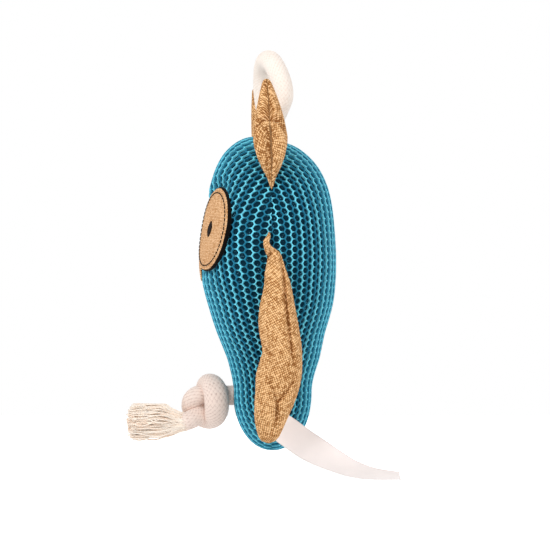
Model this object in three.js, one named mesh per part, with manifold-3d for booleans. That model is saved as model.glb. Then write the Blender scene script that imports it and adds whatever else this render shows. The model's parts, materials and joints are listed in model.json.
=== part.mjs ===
// Rope owl dog toy: a stuffed mesh owl with burlap ears, wings and face, a cotton rope loop
// on its crown, a knotted rope foot with a frayed end, and a bare ribbon label in its side seam.
// Millimetres, +Z up. The owl faces -Y and its left side is +X.
// The origin is the inside top of the rope loop, by which the toy hangs.
import * as THREE from 'three';
import { mergeVertices } from 'three/addons/utils/BufferGeometryUtils.js';
import Module from 'manifold-3d';

const wasm = await Module();
wasm.setup();

// Body, with heights above its lowest point
const BODY_HEIGHT = 218;
const HEAD_LEVEL = 130; // height of the widest part
const HEAD_WIDTH = 126;
const HEAD_DEPTH = 95;
const CROWN_POWER = 2.6; // 2 is an ellipse, more is squarer
const SHOULDER_POWER = 0.85; // 1 is an even curve from base to head, less is fuller
const BASE_LEVEL = 42; // height where the base starts to round off
const BASE_WIDTH = 73;
const BASE_DEPTH = 56;

// Cloth layers and the gaps between pieces
const COVER_WALL = 2.5;
const LINING_WALL = 0.8;
const BURLAP_WALL = 1.2;
const FELT_WALL = 2;
const CLEARANCE = 0.3;
const DRAPE_GAP = 0.6; // under a curved patch, whose facets dip between its corners

// Squeaker in the middle of the filling
const SQUEAKER_LEVEL = 128;
const SQUEAKER_DIAMETER = 44;
const SQUEAKER_DEPTH = 28;
const SQUEAKER_WALL = 1.5;
const SQUEAKER_CHAMFER = 6;
const REED_DIAMETER = 10;
const REED_LENGTH = 12;
const REED_FLANGE_DIAMETER = 15;
const REED_FLANGE = 1.5;

// Eyes
const EYE_DIAMETER = 57;
const EYE_LEVEL = 155;
const EYE_SPREAD = 32; // from the middle of the face
const EYE_HUG = 0.75; // share of the body's curve that the stiff patch follows at its middle
const EYE_HUG_CHANGE = 0.25; // more at the inner edge, less at the outer one
const EYE_PATCH_WALL = 1.4;
const STITCH_INSET = 3;
const STITCH_WIDTH = 1.2;
const STITCH_HEIGHT = 0.6;
const PUPIL_DIAMETER = 11;
const PUPIL_HEIGHT = 0.8;

// Beak
const BEAK_LEVEL = 134; // height of its widest part
const BEAK_WIDTH = 18;
const BEAK_RISE = 15;
const BEAK_DROP = 15;
const BEAK_JOWL = 0.7; // share of its width that is left halfway down
const BEAK_EDGE = 1.2;
const BEAK_SWELL = 2.2;

// Ears, sewn in the seam between two levels
const EAR_LOW_LEVEL = 184;
const EAR_HIGH_LEVEL = 211;
const EAR_HEIGHT = 61; // tall point above the middle of the seam
const EAR_WIDTH = 38;
const EAR_THICKNESS = 23;
const EAR_SEAT_GAP = 0.6;
const LEFT_EAR_LEAN = 0; // degrees forward
const RIGHT_EAR_LEAN = 9;

// Wings, hung from the side seam by a narrow neck
const WING_LEVEL = 149;
const WING_LENGTH = 141;
const WING_WIDTH = 32;
const WING_SWELL_OUT = 10.5;
const WING_SWELL_IN = 7.5;
const WING_STANDOFF = 9; // how far the pad hangs outside the neck
const WING_TUCK = 9; // degrees that it hangs in towards the narrow base
const WING_NECK_LENGTH = 34;
const WING_NECK_SEAT = 2.2; // neck above the seam cloth, for its own half thickness

// Seams of the burlap pads
const PAD_EDGE = 0.5; // height of the sewn edge of one panel
const PAD_SEAM = 2.4; // width of the sewn margin
const PAD_POWER = 2.4; // 2 is a lens, more is fuller

// Rope
const ROPE_DIAMETER = 14;
const KNOT_ROPE_DIAMETER = 13.4;
const ROPE_SINK = 1.6; // how far a rope end sits in the cover
const ROPE_SEAT_GAP = 0.5; // around a rope end, which turns in its seat
const FOOT_LEVEL = 39;
const FRAY_LENGTH = 33;
const FRAY_DIAMETER = 25;
const FRAY_TURN = 0.25; // share of the brush that still points along the rope, before it levels

// Ribbon label
const LABEL_LEVEL = 22;
const LABEL_WIDTH = 20;
const LABEL_WALL = 0.6;
const LABEL_SEAT_GAP = 0.4;

// How finely the pieces are faceted
const BASE_ROWS = 4;
const SHOULDER_ROWS = 5;
const CROWN_ROWS = 7;
const HALF_COLUMNS = 12;
const PATCH_RINGS = 3;
const EYE_SIDES = 22;
const PUPIL_SIDES = 12;
const PAD_RINGS = 3;
const EAR_POINTS = 22;
const EAR_SEAM_POINTS = 4;
const WING_POINTS = 22;
const ROPE_SIDES = 10;
const LOOP_STEPS = 26;
const KNOT_STEPS = 42;
const FRAY_STEPS = 5;
const LABEL_STEPS = 24;
const LABEL_COLUMNS = 4;
const LATHE_SIDES = 18;
const SLOPE_STEP = 0.1;
const SEARCH_STEPS = 40;
const WELD = 1e-3;

// Rope loop from its left end over the top to its right end: across, back, and up from the ends
const LOOP_ROUTE = [
  [16, 0, 0],
  [18, 1.5, 8],
  [20.5, 5, 16],
  [22, 8, 24],
  [21.5, 7.5, 32],
  [18.5, 5, 40],
  [13, 2, 46.5],
  [6.5, -0.5, 50],
  [0, -2.4, 51],
  [-6.5, -4, 50],
  [-13, -5.3, 46.5],
  [-18.5, -5.8, 40],
  [-21.5, -5.8, 32],
  [-22, -5, 24],
  [-20.5, -3.5, 16],
  [-18, -1.5, 8],
  [-16, 0, 0],
];

// Rope foot from the body through its overhand knot: out from the body, up, and to the left
const FOOT_ROUTE = [
  [0, 0, 0],
  [4.5, 0, -1.5],
  [9, 0, -2],
  [13.5, 0.5, -1],
  [18, 0, 0.5],
  [21.5, -2.5, 0],
  [23, -7, -4],
  [21.5, -11.5, -9],
  [17, -15, -11.5],
  [11.5, -17, -8.5],
  [7, -15.5, -0.5],
  [5, -10, 7],
  [5, -2.5, 11],
  [6, 4, 9],
  [8.5, 8, 3],
  [11.5, 7.5, -4.5],
  [13.5, 2.5, -9.5],
  [15, -4.5, -9],
  [16.5, -10.5, -4.5],
  [19, -14.5, 1],
  [23.5, -17, 4],
  [28, -18.5, 3.5],
  [32, -19, 2],
];
const FOOT_SPLIT = 0.45; // share of its length where the wrap over the front starts
const FOOT_THINNING = 0.03; // share of its length over which it is squeezed thinner

// Ribbon label from its seam: out, back and up from the seam, and its twist in degrees
const LABEL_ROUTE = [
  [0, 0, 0, 0],
  [1.5, 9, -5.5, 0],
  [4, 24.5, -16.5, 5],
  [7, 42, -26.5, 35],
  [10, 56, -32.8, 51],
  [12.5, 70, -36.6, 63],
  [14.5, 84.5, -38.8, 72],
];

// Wing outline: back and down from its neck, in shares of its width and length
const WING_OUTLINE = [
  [0.03, 0],
  [0.19, 0.07],
  [0.37, 0.21],
  [0.56, 0.42],
  [0.67, 0.59],
  [0.54, 0.76],
  [0.22, 0.94],
  [-0.12, 1],
  [-0.34, 0.88],
  [-0.31, 0.73],
  [-0.19, 0.55],
  [-0.25, 0.39],
  [-0.13, 0.2],
  [-0.09, 0.06],
];
const WING_CENTRE = [0.16, 0.58];

// Free edge of an ear from the low end of its seam to the high end: out and up from the
// middle of the seam, in shares of its width and height
const EAR_OUTLINE = [
  [0.47, -0.05],
  [0.63, 0.19],
  [0.71, 0.38],
  [0.68, 0.5],
  [0.55, 0.48],
  [0.45, 0.43],
  [0.43, 0.66],
  [0.34, 0.88],
  [0.21, 1],
  [0.05, 0.9],
  [-0.11, 0.69],
  [-0.24, 0.46],
];
const EAR_CENTRE = [0.21, 0.27];

const vector = (x, y, z) => new THREE.Vector3(x, y, z);

// Closed geometry from triangles of three points each, turned to face outwards
function closedGeometry(triangles) {
  const volume = triangles.reduce((sum, [a, b, c]) => sum + a.dot(b.clone().cross(c)), 0);
  const positions = [];
  for (const [a, b, c] of triangles) {
    const shortest = Math.min(a.distanceTo(b), b.distanceTo(c), c.distanceTo(a));
    if (shortest < WELD) continue;
    const corners = volume > 0 ? [a, b, c] : [a, c, b];
    corners.forEach((corner) => positions.push(corner.x, corner.y, corner.z));
  }
  const loose = new THREE.BufferGeometry();
  loose.setAttribute('position', new THREE.Float32BufferAttribute(positions, 3));
  const geometry = mergeVertices(loose, WELD);
  geometry.computeVertexNormals();
  return geometry;
}

function solidOf(geometry) {
  const bare = new THREE.BufferGeometry();
  bare.setAttribute('position', geometry.getAttribute('position'));
  bare.setIndex(geometry.index);
  const merged = mergeVertices(bare, WELD);
  const vertProperties = merged.attributes.position.array;
  const triVerts = new Uint32Array(merged.index.array);
  return new wasm.Manifold(new wasm.Mesh({ numProp: 3, vertProperties, triVerts }));
}

function geometryOf(solid) {
  const mesh = solid.getMesh();
  const geometry = new THREE.BufferGeometry();
  geometry.setAttribute('position', new THREE.BufferAttribute(mesh.vertProperties, 3));
  geometry.setIndex(new THREE.BufferAttribute(mesh.triVerts, 1));
  geometry.computeVertexNormals();
  return geometry;
}

const cut = (geometry, tools) =>
  geometryOf(tools.reduce((solid, tool) => solid.subtract(solidOf(tool)), solidOf(geometry)));

const join = (geometries) =>
  geometryOf(geometries.map(solidOf).reduce((sum, solid) => sum.add(solid)));

const quad = (a, b, c, d) => [[a, b, c], [a, c, d]];

const reversed = (triangles) => triangles.map(([a, b, c]) => [a, c, b]);

// Faces between neighbouring rows of points
function rowFaces(rows) {
  const faces = [];
  for (let i = 0; i + 1 < rows.length; i += 1) {
    for (let j = 0; j + 1 < rows[i].length; j += 1) {
      faces.push(...quad(rows[i][j], rows[i][j + 1], rows[i + 1][j + 1], rows[i + 1][j]));
    }
  }
  return faces;
}

const closedRow = (row) => [...row, row[0]];

// Half sizes of the body at a height, for its outer face moved in by an inset
function bodyForm(inset) {
  const bottom = inset;
  const top = BODY_HEIGHT - inset;
  const half = (z, head, base) => {
    if (z >= HEAD_LEVEL) {
      const rise = Math.min(1, (z - HEAD_LEVEL) / (top - HEAD_LEVEL));
      return head * (1 - rise ** CROWN_POWER) ** (1 / CROWN_POWER);
    }
    if (z >= BASE_LEVEL) {
      const share = ((z - BASE_LEVEL) / (HEAD_LEVEL - BASE_LEVEL)) ** SHOULDER_POWER;
      return base + ((head - base) * (1 - Math.cos(Math.PI * share))) / 2;
    }
    const drop = Math.min(1, (BASE_LEVEL - z) / (BASE_LEVEL - bottom));
    return base * Math.sqrt(1 - drop * drop);
  };
  return {
    bottom,
    top,
    width: (z) => half(z, HEAD_WIDTH / 2 - inset, BASE_WIDTH / 2 - inset),
    depth: (z) => half(z, HEAD_DEPTH / 2 - inset, BASE_DEPTH / 2 - inset),
  };
}

const COVER = bodyForm(0);

// Heights of a form's rows, closer together where its poles round off
function bodyLevels(form) {
  const quarter = (share) => (Math.PI / 2) * share;
  const levels = [];
  for (let i = 0; i <= BASE_ROWS; i += 1) {
    levels.push(BASE_LEVEL - (BASE_LEVEL - form.bottom) * Math.cos(quarter(i / BASE_ROWS)));
  }
  for (let i = 1; i <= SHOULDER_ROWS; i += 1) {
    levels.push(BASE_LEVEL + ((HEAD_LEVEL - BASE_LEVEL) * i) / SHOULDER_ROWS);
  }
  for (let i = 1; i <= CROWN_ROWS; i += 1) {
    const rise = Math.sin(quarter(i / CROWN_ROWS)) ** (2 / CROWN_POWER);
    levels.push(HEAD_LEVEL + (form.top - HEAD_LEVEL) * rise);
  }
  return levels;
}

// Rows of points over the front half of the body, where side is -1, or the back half
function halfRows(inset, side) {
  const form = bodyForm(inset);
  return bodyLevels(form).map((z) => {
    const row = [];
    for (let j = 0; j <= HALF_COLUMNS; j += 1) {
      const angle = (Math.PI * j) / HALF_COLUMNS;
      const y = CLEARANCE / 2 + form.depth(z) * Math.sin(angle);
      row.push(vector(form.width(z) * Math.cos(angle), side * y, z));
    }
    return row;
  });
}

// Half of a cloth layer of the body, with a flat rim in the side seam
function halfShell(inset, wall, side) {
  const outer = halfRows(inset, side);
  const inner = halfRows(inset + wall, side);
  const faces = [...rowFaces(outer), ...reversed(rowFaces(inner))];
  const last = HALF_COLUMNS;
  for (let i = 0; i + 1 < outer.length; i += 1) {
    faces.push(...quad(outer[i][0], outer[i + 1][0], inner[i + 1][0], inner[i][0]));
    faces.push(...quad(outer[i + 1][last], outer[i][last], inner[i][last], inner[i + 1][last]));
  }
  return closedGeometry(faces);
}

// Half of the filling, flat where the two halves meet
function halfFilling(inset, side) {
  const rows = halfRows(inset, side);
  const faces = rowFaces(rows);
  const last = HALF_COLUMNS;
  for (let i = 0; i + 1 < rows.length; i += 1) {
    faces.push(...quad(rows[i][0], rows[i + 1][0], rows[i + 1][last], rows[i][last]));
  }
  return closedGeometry(faces);
}

// Round solid about an axis along Y through the middle of the squeaker
function squeakerLathe(profile) {
  const points = profile.map(([radius, y]) => new THREE.Vector2(radius, y));
  const lathe = new THREE.LatheGeometry(points, LATHE_SIDES);
  const corners = lathe.toNonIndexed().getAttribute('position');
  const faces = [];
  for (let i = 0; i < corners.count; i += 3) {
    faces.push([0, 1, 2].map((k) => new THREE.Vector3().fromBufferAttribute(corners, i + k)));
  }
  lathe.dispose();
  return closedGeometry(faces).translate(0, 0, SQUEAKER_LEVEL);
}

// Outline of the squeaker's bulb from its back pole to its front face, moved out by a margin
function bulbOutline(margin) {
  const radius = SQUEAKER_DIAMETER / 2 + margin;
  const half = SQUEAKER_DEPTH / 2 + margin;
  return [
    [0, half],
    [radius - SQUEAKER_CHAMFER, half],
    [radius, half - SQUEAKER_CHAMFER],
    [radius, SQUEAKER_CHAMFER - half],
    [radius - SQUEAKER_CHAMFER, -half],
  ];
}

function squeakerBulb() {
  const mouth = REED_DIAMETER / 2 + CLEARANCE;
  const outside = bulbOutline(0);
  const inside = bulbOutline(-SQUEAKER_WALL).reverse();
  const front = -SQUEAKER_DEPTH / 2;
  const lip = [[mouth, front], [mouth, front + SQUEAKER_WALL]];
  return squeakerLathe([...outside, ...lip, ...inside]);
}

function reedProfile(margin) {
  const face = -SQUEAKER_DEPTH / 2 - CLEARANCE;
  const front = face - REED_FLANGE;
  return [
    [0, front - margin],
    [REED_FLANGE_DIAMETER / 2 + margin, front - margin],
    [REED_FLANGE_DIAMETER / 2 + margin, face],
    [REED_DIAMETER / 2, face],
    [REED_DIAMETER / 2, face + REED_LENGTH],
    [0, face + REED_LENGTH],
  ];
}

// Space that the squeaker takes up in the filling
const squeakerPocket = () => [
  squeakerLathe([...bulbOutline(CLEARANCE), [0, -SQUEAKER_DEPTH / 2 - CLEARANCE]]),
  squeakerLathe(reedProfile(CLEARANCE)),
];

// Frame of a patch on the front cover: its middle, its outward normal and its own two directions
function coverFrame(x, z) {
  const y = -CLEARANCE / 2 - COVER.depth(z) * Math.sqrt(1 - (x / COVER.width(z)) ** 2);
  const middle = vector(x, y, z);
  const slope = (direction) =>
    outsideCover(middle.clone().addScaledVector(direction, SLOPE_STEP)) -
    outsideCover(middle.clone().addScaledVector(direction, -SLOPE_STEP));
  const axes = [vector(1, 0, 0), vector(0, 1, 0), vector(0, 0, 1)];
  const normal = vector(...axes.map(slope)).normalize();
  const across = vector(0, 0, 1).cross(normal).normalize();
  return { middle, normal, across, up: normal.clone().cross(across) };
}

// Above zero outside the cover and below zero inside it
function outsideCover(point) {
  const z = THREE.MathUtils.clamp(point.z, WELD, BODY_HEIGHT - WELD);
  const y = Math.max(0, Math.abs(point.y) - CLEARANCE / 2);
  return (point.x / COVER.width(z)) ** 2 + (y / COVER.depth(z)) ** 2 - 1;
}

// Point of a patch: u and v along the patch, lifted off the cover, following a share of its curve
function onCover(frame, u, v, lift, hug) {
  const start = frame.middle.clone().addScaledVector(frame.across, u).addScaledVector(frame.up, v);
  let near = -HEAD_DEPTH / 2;
  let far = HEAD_DEPTH / 2;
  for (let i = 0; i < SEARCH_STEPS; i += 1) {
    const middle = (near + far) / 2;
    if (outsideCover(start.clone().addScaledVector(frame.normal, -middle)) > 0) near = middle;
    else far = middle;
  }
  return start.addScaledVector(frame.normal, lift - hug * near);
}

// Patch with an outline around its middle, between two heights above the cover
function coverPatch(frame, outline, bottom, top, hug) {
  const rows = (lift) => {
    const rings = [];
    for (let k = 0; k <= PATCH_RINGS; k += 1) {
      const share = k / PATCH_RINGS;
      const ring = outline.map(([u, v]) =>
        onCover(frame, u * share, v * share, lift(share), hug(u * share)));
      rings.push(closedRow(ring));
    }
    return rings;
  };
  const above = rows(top);
  const below = rows(bottom);
  const edge = [below[PATCH_RINGS], above[PATCH_RINGS]];
  const undersides = [...rowFaces(below), ...rowFaces(edge)];
  return closedGeometry([...rowFaces(above), ...reversed(undersides)]);
}

function circle(radius, sides) {
  const points = [];
  for (let i = 0; i < sides; i += 1) {
    const angle = (2 * Math.PI * i) / sides;
    points.push([radius * Math.cos(angle), radius * Math.sin(angle)]);
  }
  return points;
}

// Layers of an eye above the cover, from the felt backing up
const BACKING_TOP = DRAPE_GAP + FELT_WALL;
const PATCH_TOP = BACKING_TOP + CLEARANCE + EYE_PATCH_WALL;
const eyeFrame = coverFrame(EYE_SPREAD, EYE_LEVEL);
const eyeHug = (u) => EYE_HUG - (EYE_HUG_CHANGE * u) / (EYE_DIAMETER / 2);

function eyeDisc(diameter, sides, bottom, height) {
  const outline = circle(diameter / 2, sides);
  return coverPatch(eyeFrame, outline, () => bottom, () => bottom + height, eyeHug);
}

// Ring of thread just inside the edge of an eye patch
function eyeStitching() {
  const outer = EYE_DIAMETER / 2 - STITCH_INSET;
  const bottom = PATCH_TOP + CLEARANCE;
  const row = (radius, lift) => closedRow(circle(radius, EYE_SIDES).map(([u, v]) =>
    onCover(eyeFrame, u, v, lift, eyeHug(u))));
  const section = [
    row(outer, bottom),
    row(outer, bottom + STITCH_HEIGHT),
    row(outer - STITCH_WIDTH, bottom + STITCH_HEIGHT),
    row(outer - STITCH_WIDTH, bottom),
  ];
  return closedGeometry(rowFaces(closedRow(section)));
}

function beak() {
  const half = BEAK_WIDTH / 2;
  const outline = [
    [half, 0],
    [half / 2, BEAK_RISE / 2],
    [0, BEAK_RISE],
    [-half / 2, BEAK_RISE / 2],
    [-half, 0],
    [-half * BEAK_JOWL, -BEAK_DROP / 2],
    [0, -BEAK_DROP],
    [half * BEAK_JOWL, -BEAK_DROP / 2],
  ];
  const top = (share) => DRAPE_GAP + BEAK_EDGE + BEAK_SWELL * (1 - share * share);
  return coverPatch(coverFrame(0, BEAK_LEVEL), outline, () => DRAPE_GAP, top, () => 1);
}

// Burlap pads: an outline around a centre, swelling to each side of its sewn edge
const padHeight = (share, swell) => CLEARANCE / 2 + PAD_EDGE + swell * (1 - share ** PAD_POWER);

// Ring at a share of the way from a pad's centre to its outline, which is drawn in by an inset
const padRing = (pad, share, inset, height) => closedRow(pad.outline.map(([p, q]) => {
  const [middleP, middleQ] = pad.centre;
  const reach = Math.hypot(p - middleP, q - middleQ);
  const scale = (share * (reach - inset)) / reach;
  return pad.place(middleP + (p - middleP) * scale, middleQ + (q - middleQ) * scale, height);
}));

// Rings of one face of a pad, with its height lowered to a floor
function padRings(pad, side, swell, inset, lowered, floor) {
  const rings = [];
  for (let k = 0; k <= PAD_RINGS; k += 1) {
    const share = k / PAD_RINGS;
    const height = Math.max(floor, padHeight(share, swell) - lowered);
    rings.push(padRing(pad, share, inset, side * height));
  }
  return rings;
}

function padPanel(pad, side, swell) {
  const outer = padRings(pad, side, swell, 0, 0, 0);
  const inner = padRings(pad, side, swell, PAD_SEAM, BURLAP_WALL + PAD_EDGE, CLEARANCE / 2);
  const seam = padRing(pad, 1, 0, (side * CLEARANCE) / 2);
  const rim = [outer[PAD_RINGS], seam, inner[PAD_RINGS]];
  return closedGeometry([...rowFaces(outer), ...rowFaces(rim), ...reversed(rowFaces(inner))]);
}

// Filling of a pad, which ends in a sharp edge between its two panels
function padFilling(pad, swellFront, swellBack) {
  const lowered = BURLAP_WALL + PAD_EDGE + 2 * CLEARANCE;
  const inset = PAD_SEAM + 2 * CLEARANCE;
  const front = padRings(pad, -1, swellFront, inset, lowered, 0);
  const back = padRings(pad, 1, swellBack, inset, lowered, 0);
  return closedGeometry([...rowFaces(front), ...reversed(rowFaces(back))]);
}

// Points evenly spaced along a smooth line through a few chosen ones
function spread(points, count, closed) {
  const line = new THREE.CatmullRomCurve3(points.map(([p, q]) => vector(p, q, 0)), closed);
  const spaced = line.getSpacedPoints(count);
  return (closed ? spaced.slice(0, -1) : spaced).map((point) => [point.x, point.y]);
}

// Point of the side seam on the owl's left, across and up, moved out by a gap
const seamPoint = (z, gap) => [COVER.width(z) + gap, z];

const earLow = seamPoint(EAR_LOW_LEVEL, EAR_SEAT_GAP);
const earHigh = seamPoint(EAR_HIGH_LEVEL, EAR_SEAT_GAP);
const earMiddle = [(earLow[0] + earHigh[0]) / 2, (earLow[1] + earHigh[1]) / 2];
const earSeat = seamPoint((EAR_LOW_LEVEL + EAR_HIGH_LEVEL) / 2, EAR_SEAT_GAP);
const earPoint = ([out, up]) => [earMiddle[0] + out * EAR_WIDTH, earMiddle[1] + up * EAR_HEIGHT];

function earPad() {
  const free = spread([earLow, ...EAR_OUTLINE.map(earPoint), earHigh], EAR_POINTS, false);
  const seam = [];
  for (let i = 1; i < EAR_SEAM_POINTS; i += 1) {
    const drop = ((EAR_HIGH_LEVEL - EAR_LOW_LEVEL) * i) / EAR_SEAM_POINTS;
    seam.push(seamPoint(EAR_HIGH_LEVEL - drop, EAR_SEAT_GAP));
  }
  const place = (x, z, y) => vector(x, y, z);
  return { outline: [...free, ...seam], centre: earPoint(EAR_CENTRE), place };
}

// Neck of the left wing, outside the side seam
const wingNeck = seamPoint(WING_LEVEL, CLEARANCE + WING_NECK_SEAT);

function wingPad() {
  const point = ([back, down]) => [back * WING_WIDTH, WING_LEVEL - down * WING_LENGTH];
  const place = (y, z, out) => {
    const share = THREE.MathUtils.smoothstep(WING_LEVEL - z, 0, WING_NECK_LENGTH);
    return vector(wingNeck[0] + WING_STANDOFF * share + out, y, z);
  };
  const outline = spread(WING_OUTLINE.map(point), WING_POINTS, true);
  return { outline, centre: point(WING_CENTRE), place };
}

// Rings of a round tube along a curve, with a radius at each share of its length
function tubeRings(curve, steps, radius) {
  const frames = curve.computeFrenetFrames(steps, false);
  const rings = [];
  for (let i = 0; i <= steps; i += 1) {
    const middle = curve.getPointAt(i / steps);
    const section = circle(radius(i / steps), ROPE_SIDES);
    rings.push(closedRow(section.map(([a, b]) => middle.clone()
      .addScaledVector(frames.normals[i], a)
      .addScaledVector(frames.binormals[i], b))));
  }
  return rings;
}

function cappedTube(rings) {
  const cap = (ring) => {
    const middle = ring.slice(0, -1).reduce((sum, point) => sum.add(point), vector(0, 0, 0));
    middle.divideScalar(ring.length - 1);
    return ring.map(() => middle);
  };
  return closedGeometry(rowFaces([cap(rings[0]), ...rings, cap(rings[rings.length - 1])]));
}

// Rounded rope end, and the shallow seat that it needs in the cover
const ropeBall = (centre, margin) =>
  new THREE.SphereGeometry(ROPE_DIAMETER / 2 + margin, ROPE_SIDES, ROPE_SIDES)
    .translate(centre.x, centre.y, centre.z);

const ropeLift = ROPE_DIAMETER / 2 - ROPE_SINK;

// Height of the crown over the seam at a distance from its middle
function crownHeight(x) {
  const share = (2 * x) / HEAD_WIDTH;
  return HEAD_LEVEL + (BODY_HEIGHT - HEAD_LEVEL) * (1 - share ** CROWN_POWER) ** (1 / CROWN_POWER);
}

const loopEndHeight = crownHeight(LOOP_ROUTE[0][0]) + ropeLift;
const loopPoints = LOOP_ROUTE.map(([x, y, z]) => vector(x, y, loopEndHeight + z));
const loopEnds = [loopPoints[0], loopPoints[loopPoints.length - 1]];
const loopTop = loopPoints.reduce((top, point) => (point.z > top.z ? point : top)).clone()
  .add(vector(0, 0, -ROPE_DIAMETER / 2));

function ropeLoop() {
  const curve = new THREE.CatmullRomCurve3(loopPoints);
  const tube = cappedTube(tubeRings(curve, LOOP_STEPS, () => ROPE_DIAMETER / 2));
  return join([tube, ...loopEnds.map((end) => ropeBall(end, 0))]);
}

const footExit = vector(0, -CLEARANCE / 2 - COVER.depth(FOOT_LEVEL) - ropeLift, FOOT_LEVEL);
const footPoints = FOOT_ROUTE.map(([out, up, left]) =>
  footExit.clone().add(vector(left, -out, up)));

// One rope through its knot, in two lengths because its turns press into each other
function ropeFoot() {
  const curve = new THREE.CatmullRomCurve3(footPoints);
  const radius = (share) => THREE.MathUtils.lerp(
    ROPE_DIAMETER / 2, KNOT_ROPE_DIAMETER / 2, Math.min(1, share / FOOT_THINNING));
  const rings = tubeRings(curve, KNOT_STEPS, radius);
  const split = Math.round(FOOT_SPLIT * KNOT_STEPS);
  const pieces = [rings.slice(0, split + 1), rings.slice(split)];
  return join([...pieces.map(cappedTube), ropeBall(footExit, 0)]);
}

// Brush of loose yarn at the end of the rope foot
function frayedEnd() {
  const end = footPoints[footPoints.length - 1];
  const before = footPoints[footPoints.length - 2];
  const heading = end.clone().sub(before).normalize();
  const start = end.clone().addScaledVector(heading, CLEARANCE);
  const turned = start.clone().addScaledVector(heading, FRAY_LENGTH * FRAY_TURN);
  const tip = turned.clone().add(vector(0, -FRAY_LENGTH * (1 - FRAY_TURN), 0));
  const curve = new THREE.QuadraticBezierCurve3(start, turned, tip);
  const flare = (share) => THREE.MathUtils.lerp(
    KNOT_ROPE_DIAMETER / 2, FRAY_DIAMETER / 2, Math.sin((Math.PI / 2) * share));
  return cappedTube(tubeRings(curve, FRAY_STEPS, flare));
}

// Ribbon that leaves the left side seam and twists towards its cut end
function seamLabel() {
  const [x, z] = seamPoint(LABEL_LEVEL, LABEL_SEAT_GAP);
  const line = new THREE.CatmullRomCurve3(
    LABEL_ROUTE.map(([out, back, up]) => vector(x + out, back, z + up)));
  const seamTop = seamPoint(LABEL_LEVEL + LABEL_WIDTH / 2, 0);
  const seamBottom = seamPoint(LABEL_LEVEL - LABEL_WIDTH / 2, 0);
  const alongSeam = vector(seamTop[0] - seamBottom[0], 0, seamTop[1] - seamBottom[1]).normalize();
  const spans = LABEL_ROUTE.length - 1;
  const row = (step, through) => {
    const place = (step / LABEL_STEPS) * spans;
    const span = Math.min(Math.floor(place), spans - 1);
    const [from, to] = [LABEL_ROUTE[span][3], LABEL_ROUTE[span + 1][3]];
    const twist = THREE.MathUtils.degToRad(THREE.MathUtils.lerp(from, to, place - span));
    const heading = line.getTangent(place / spans);
    const level = vector(1, 0, 0).cross(heading).normalize();
    const across = alongSeam.clone().lerp(level, Math.min(1, place)).normalize();
    across.applyAxisAngle(heading, twist);
    const face = across.clone().cross(heading).normalize();
    const middle = line.getPoint(place / spans).addScaledVector(face, (through * LABEL_WALL) / 2);
    const points = [];
    for (let j = 0; j <= LABEL_COLUMNS; j += 1) {
      const share = j / LABEL_COLUMNS - 1 / 2;
      points.push(middle.clone().addScaledVector(across, share * LABEL_WIDTH));
    }
    return points;
  };
  const rows = (through) => {
    const all = [];
    for (let i = 0; i <= LABEL_STEPS; i += 1) all.push(row(i, through));
    return all;
  };
  const [above, below] = [rows(1), rows(-1)];
  const border = (all) => closedRow([
    ...all[0],
    ...all.slice(1).map((points) => points[LABEL_COLUMNS]),
    ...all[LABEL_STEPS].slice(0, -1).reverse(),
    ...all.slice(1, -1).map((points) => points[0]).reverse(),
  ]);
  const edge = rowFaces([border(above), border(below)]);
  return closedGeometry([...rowFaces(above), ...reversed(rowFaces(below)), ...reversed(edge)]);
}

// Materials
const matt = (colour) => () =>
  new THREE.MeshStandardMaterial({ color: colour, roughness: 0.9, metalness: 0 });
const meshCloth = matt(0x2c6c81);
const liningCloth = matt(0x0c3140);
const wadding = matt(0xf2f0ea);
const burlap = matt(0xd8a168);
const felt = matt(0x1c1714);
const thread = matt(0x39261a);
const cotton = matt(0xf4e8dc);
const satin = () => new THREE.MeshStandardMaterial({ color: 0xf3e4df, roughness: 0.45, metalness: 0 });
const vinyl = () => new THREE.MeshStandardMaterial({ color: 0xe9e6de, roughness: 0.5, metalness: 0 });

function piece(name, geometry, material) {
  const mesh = new THREE.Mesh(geometry, material());
  mesh.name = name;
  return mesh;
}

// Mirror image of a piece on the owl's right side
function mirrored(geometry) {
  const faces = geometry.toNonIndexed().getAttribute('position');
  const triangles = [];
  for (let i = 0; i < faces.count; i += 3) {
    const corners = [0, 1, 2].map((k) => new THREE.Vector3().fromBufferAttribute(faces, i + k));
    triangles.push(corners.map((corner) => vector(-corner.x, corner.y, corner.z)));
  }
  return closedGeometry(triangles);
}

const sides = [
  { name: 'left', flip: (geometry) => geometry, sign: 1, lean: LEFT_EAR_LEAN },
  { name: 'right', flip: mirrored, sign: -1, lean: RIGHT_EAR_LEAN },
];

function body() {
  const group = new THREE.Group();
  const ropeSeats = [...loopEnds, footExit].map((centre) => ropeBall(centre, ROPE_SEAT_GAP));
  const liningInset = COVER_WALL + CLEARANCE;
  const fillingInset = liningInset + LINING_WALL + CLEARANCE;
  const halves = [['front', -1], ['back', 1]];
  for (const [half, side] of halves) {
    group.add(piece(`${half}_cover`, cut(halfShell(0, COVER_WALL, side), ropeSeats), meshCloth));
    group.add(piece(`${half}_lining`, halfShell(liningInset, LINING_WALL, side), liningCloth));
    const filling = cut(halfFilling(fillingInset, side), squeakerPocket());
    group.add(piece(`${half}_wadding`, filling, wadding));
  }
  group.add(piece('squeaker_bulb', squeakerBulb(), vinyl));
  group.add(piece('squeaker_reed', squeakerLathe(reedProfile(0)), vinyl));
  return group;
}

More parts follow.
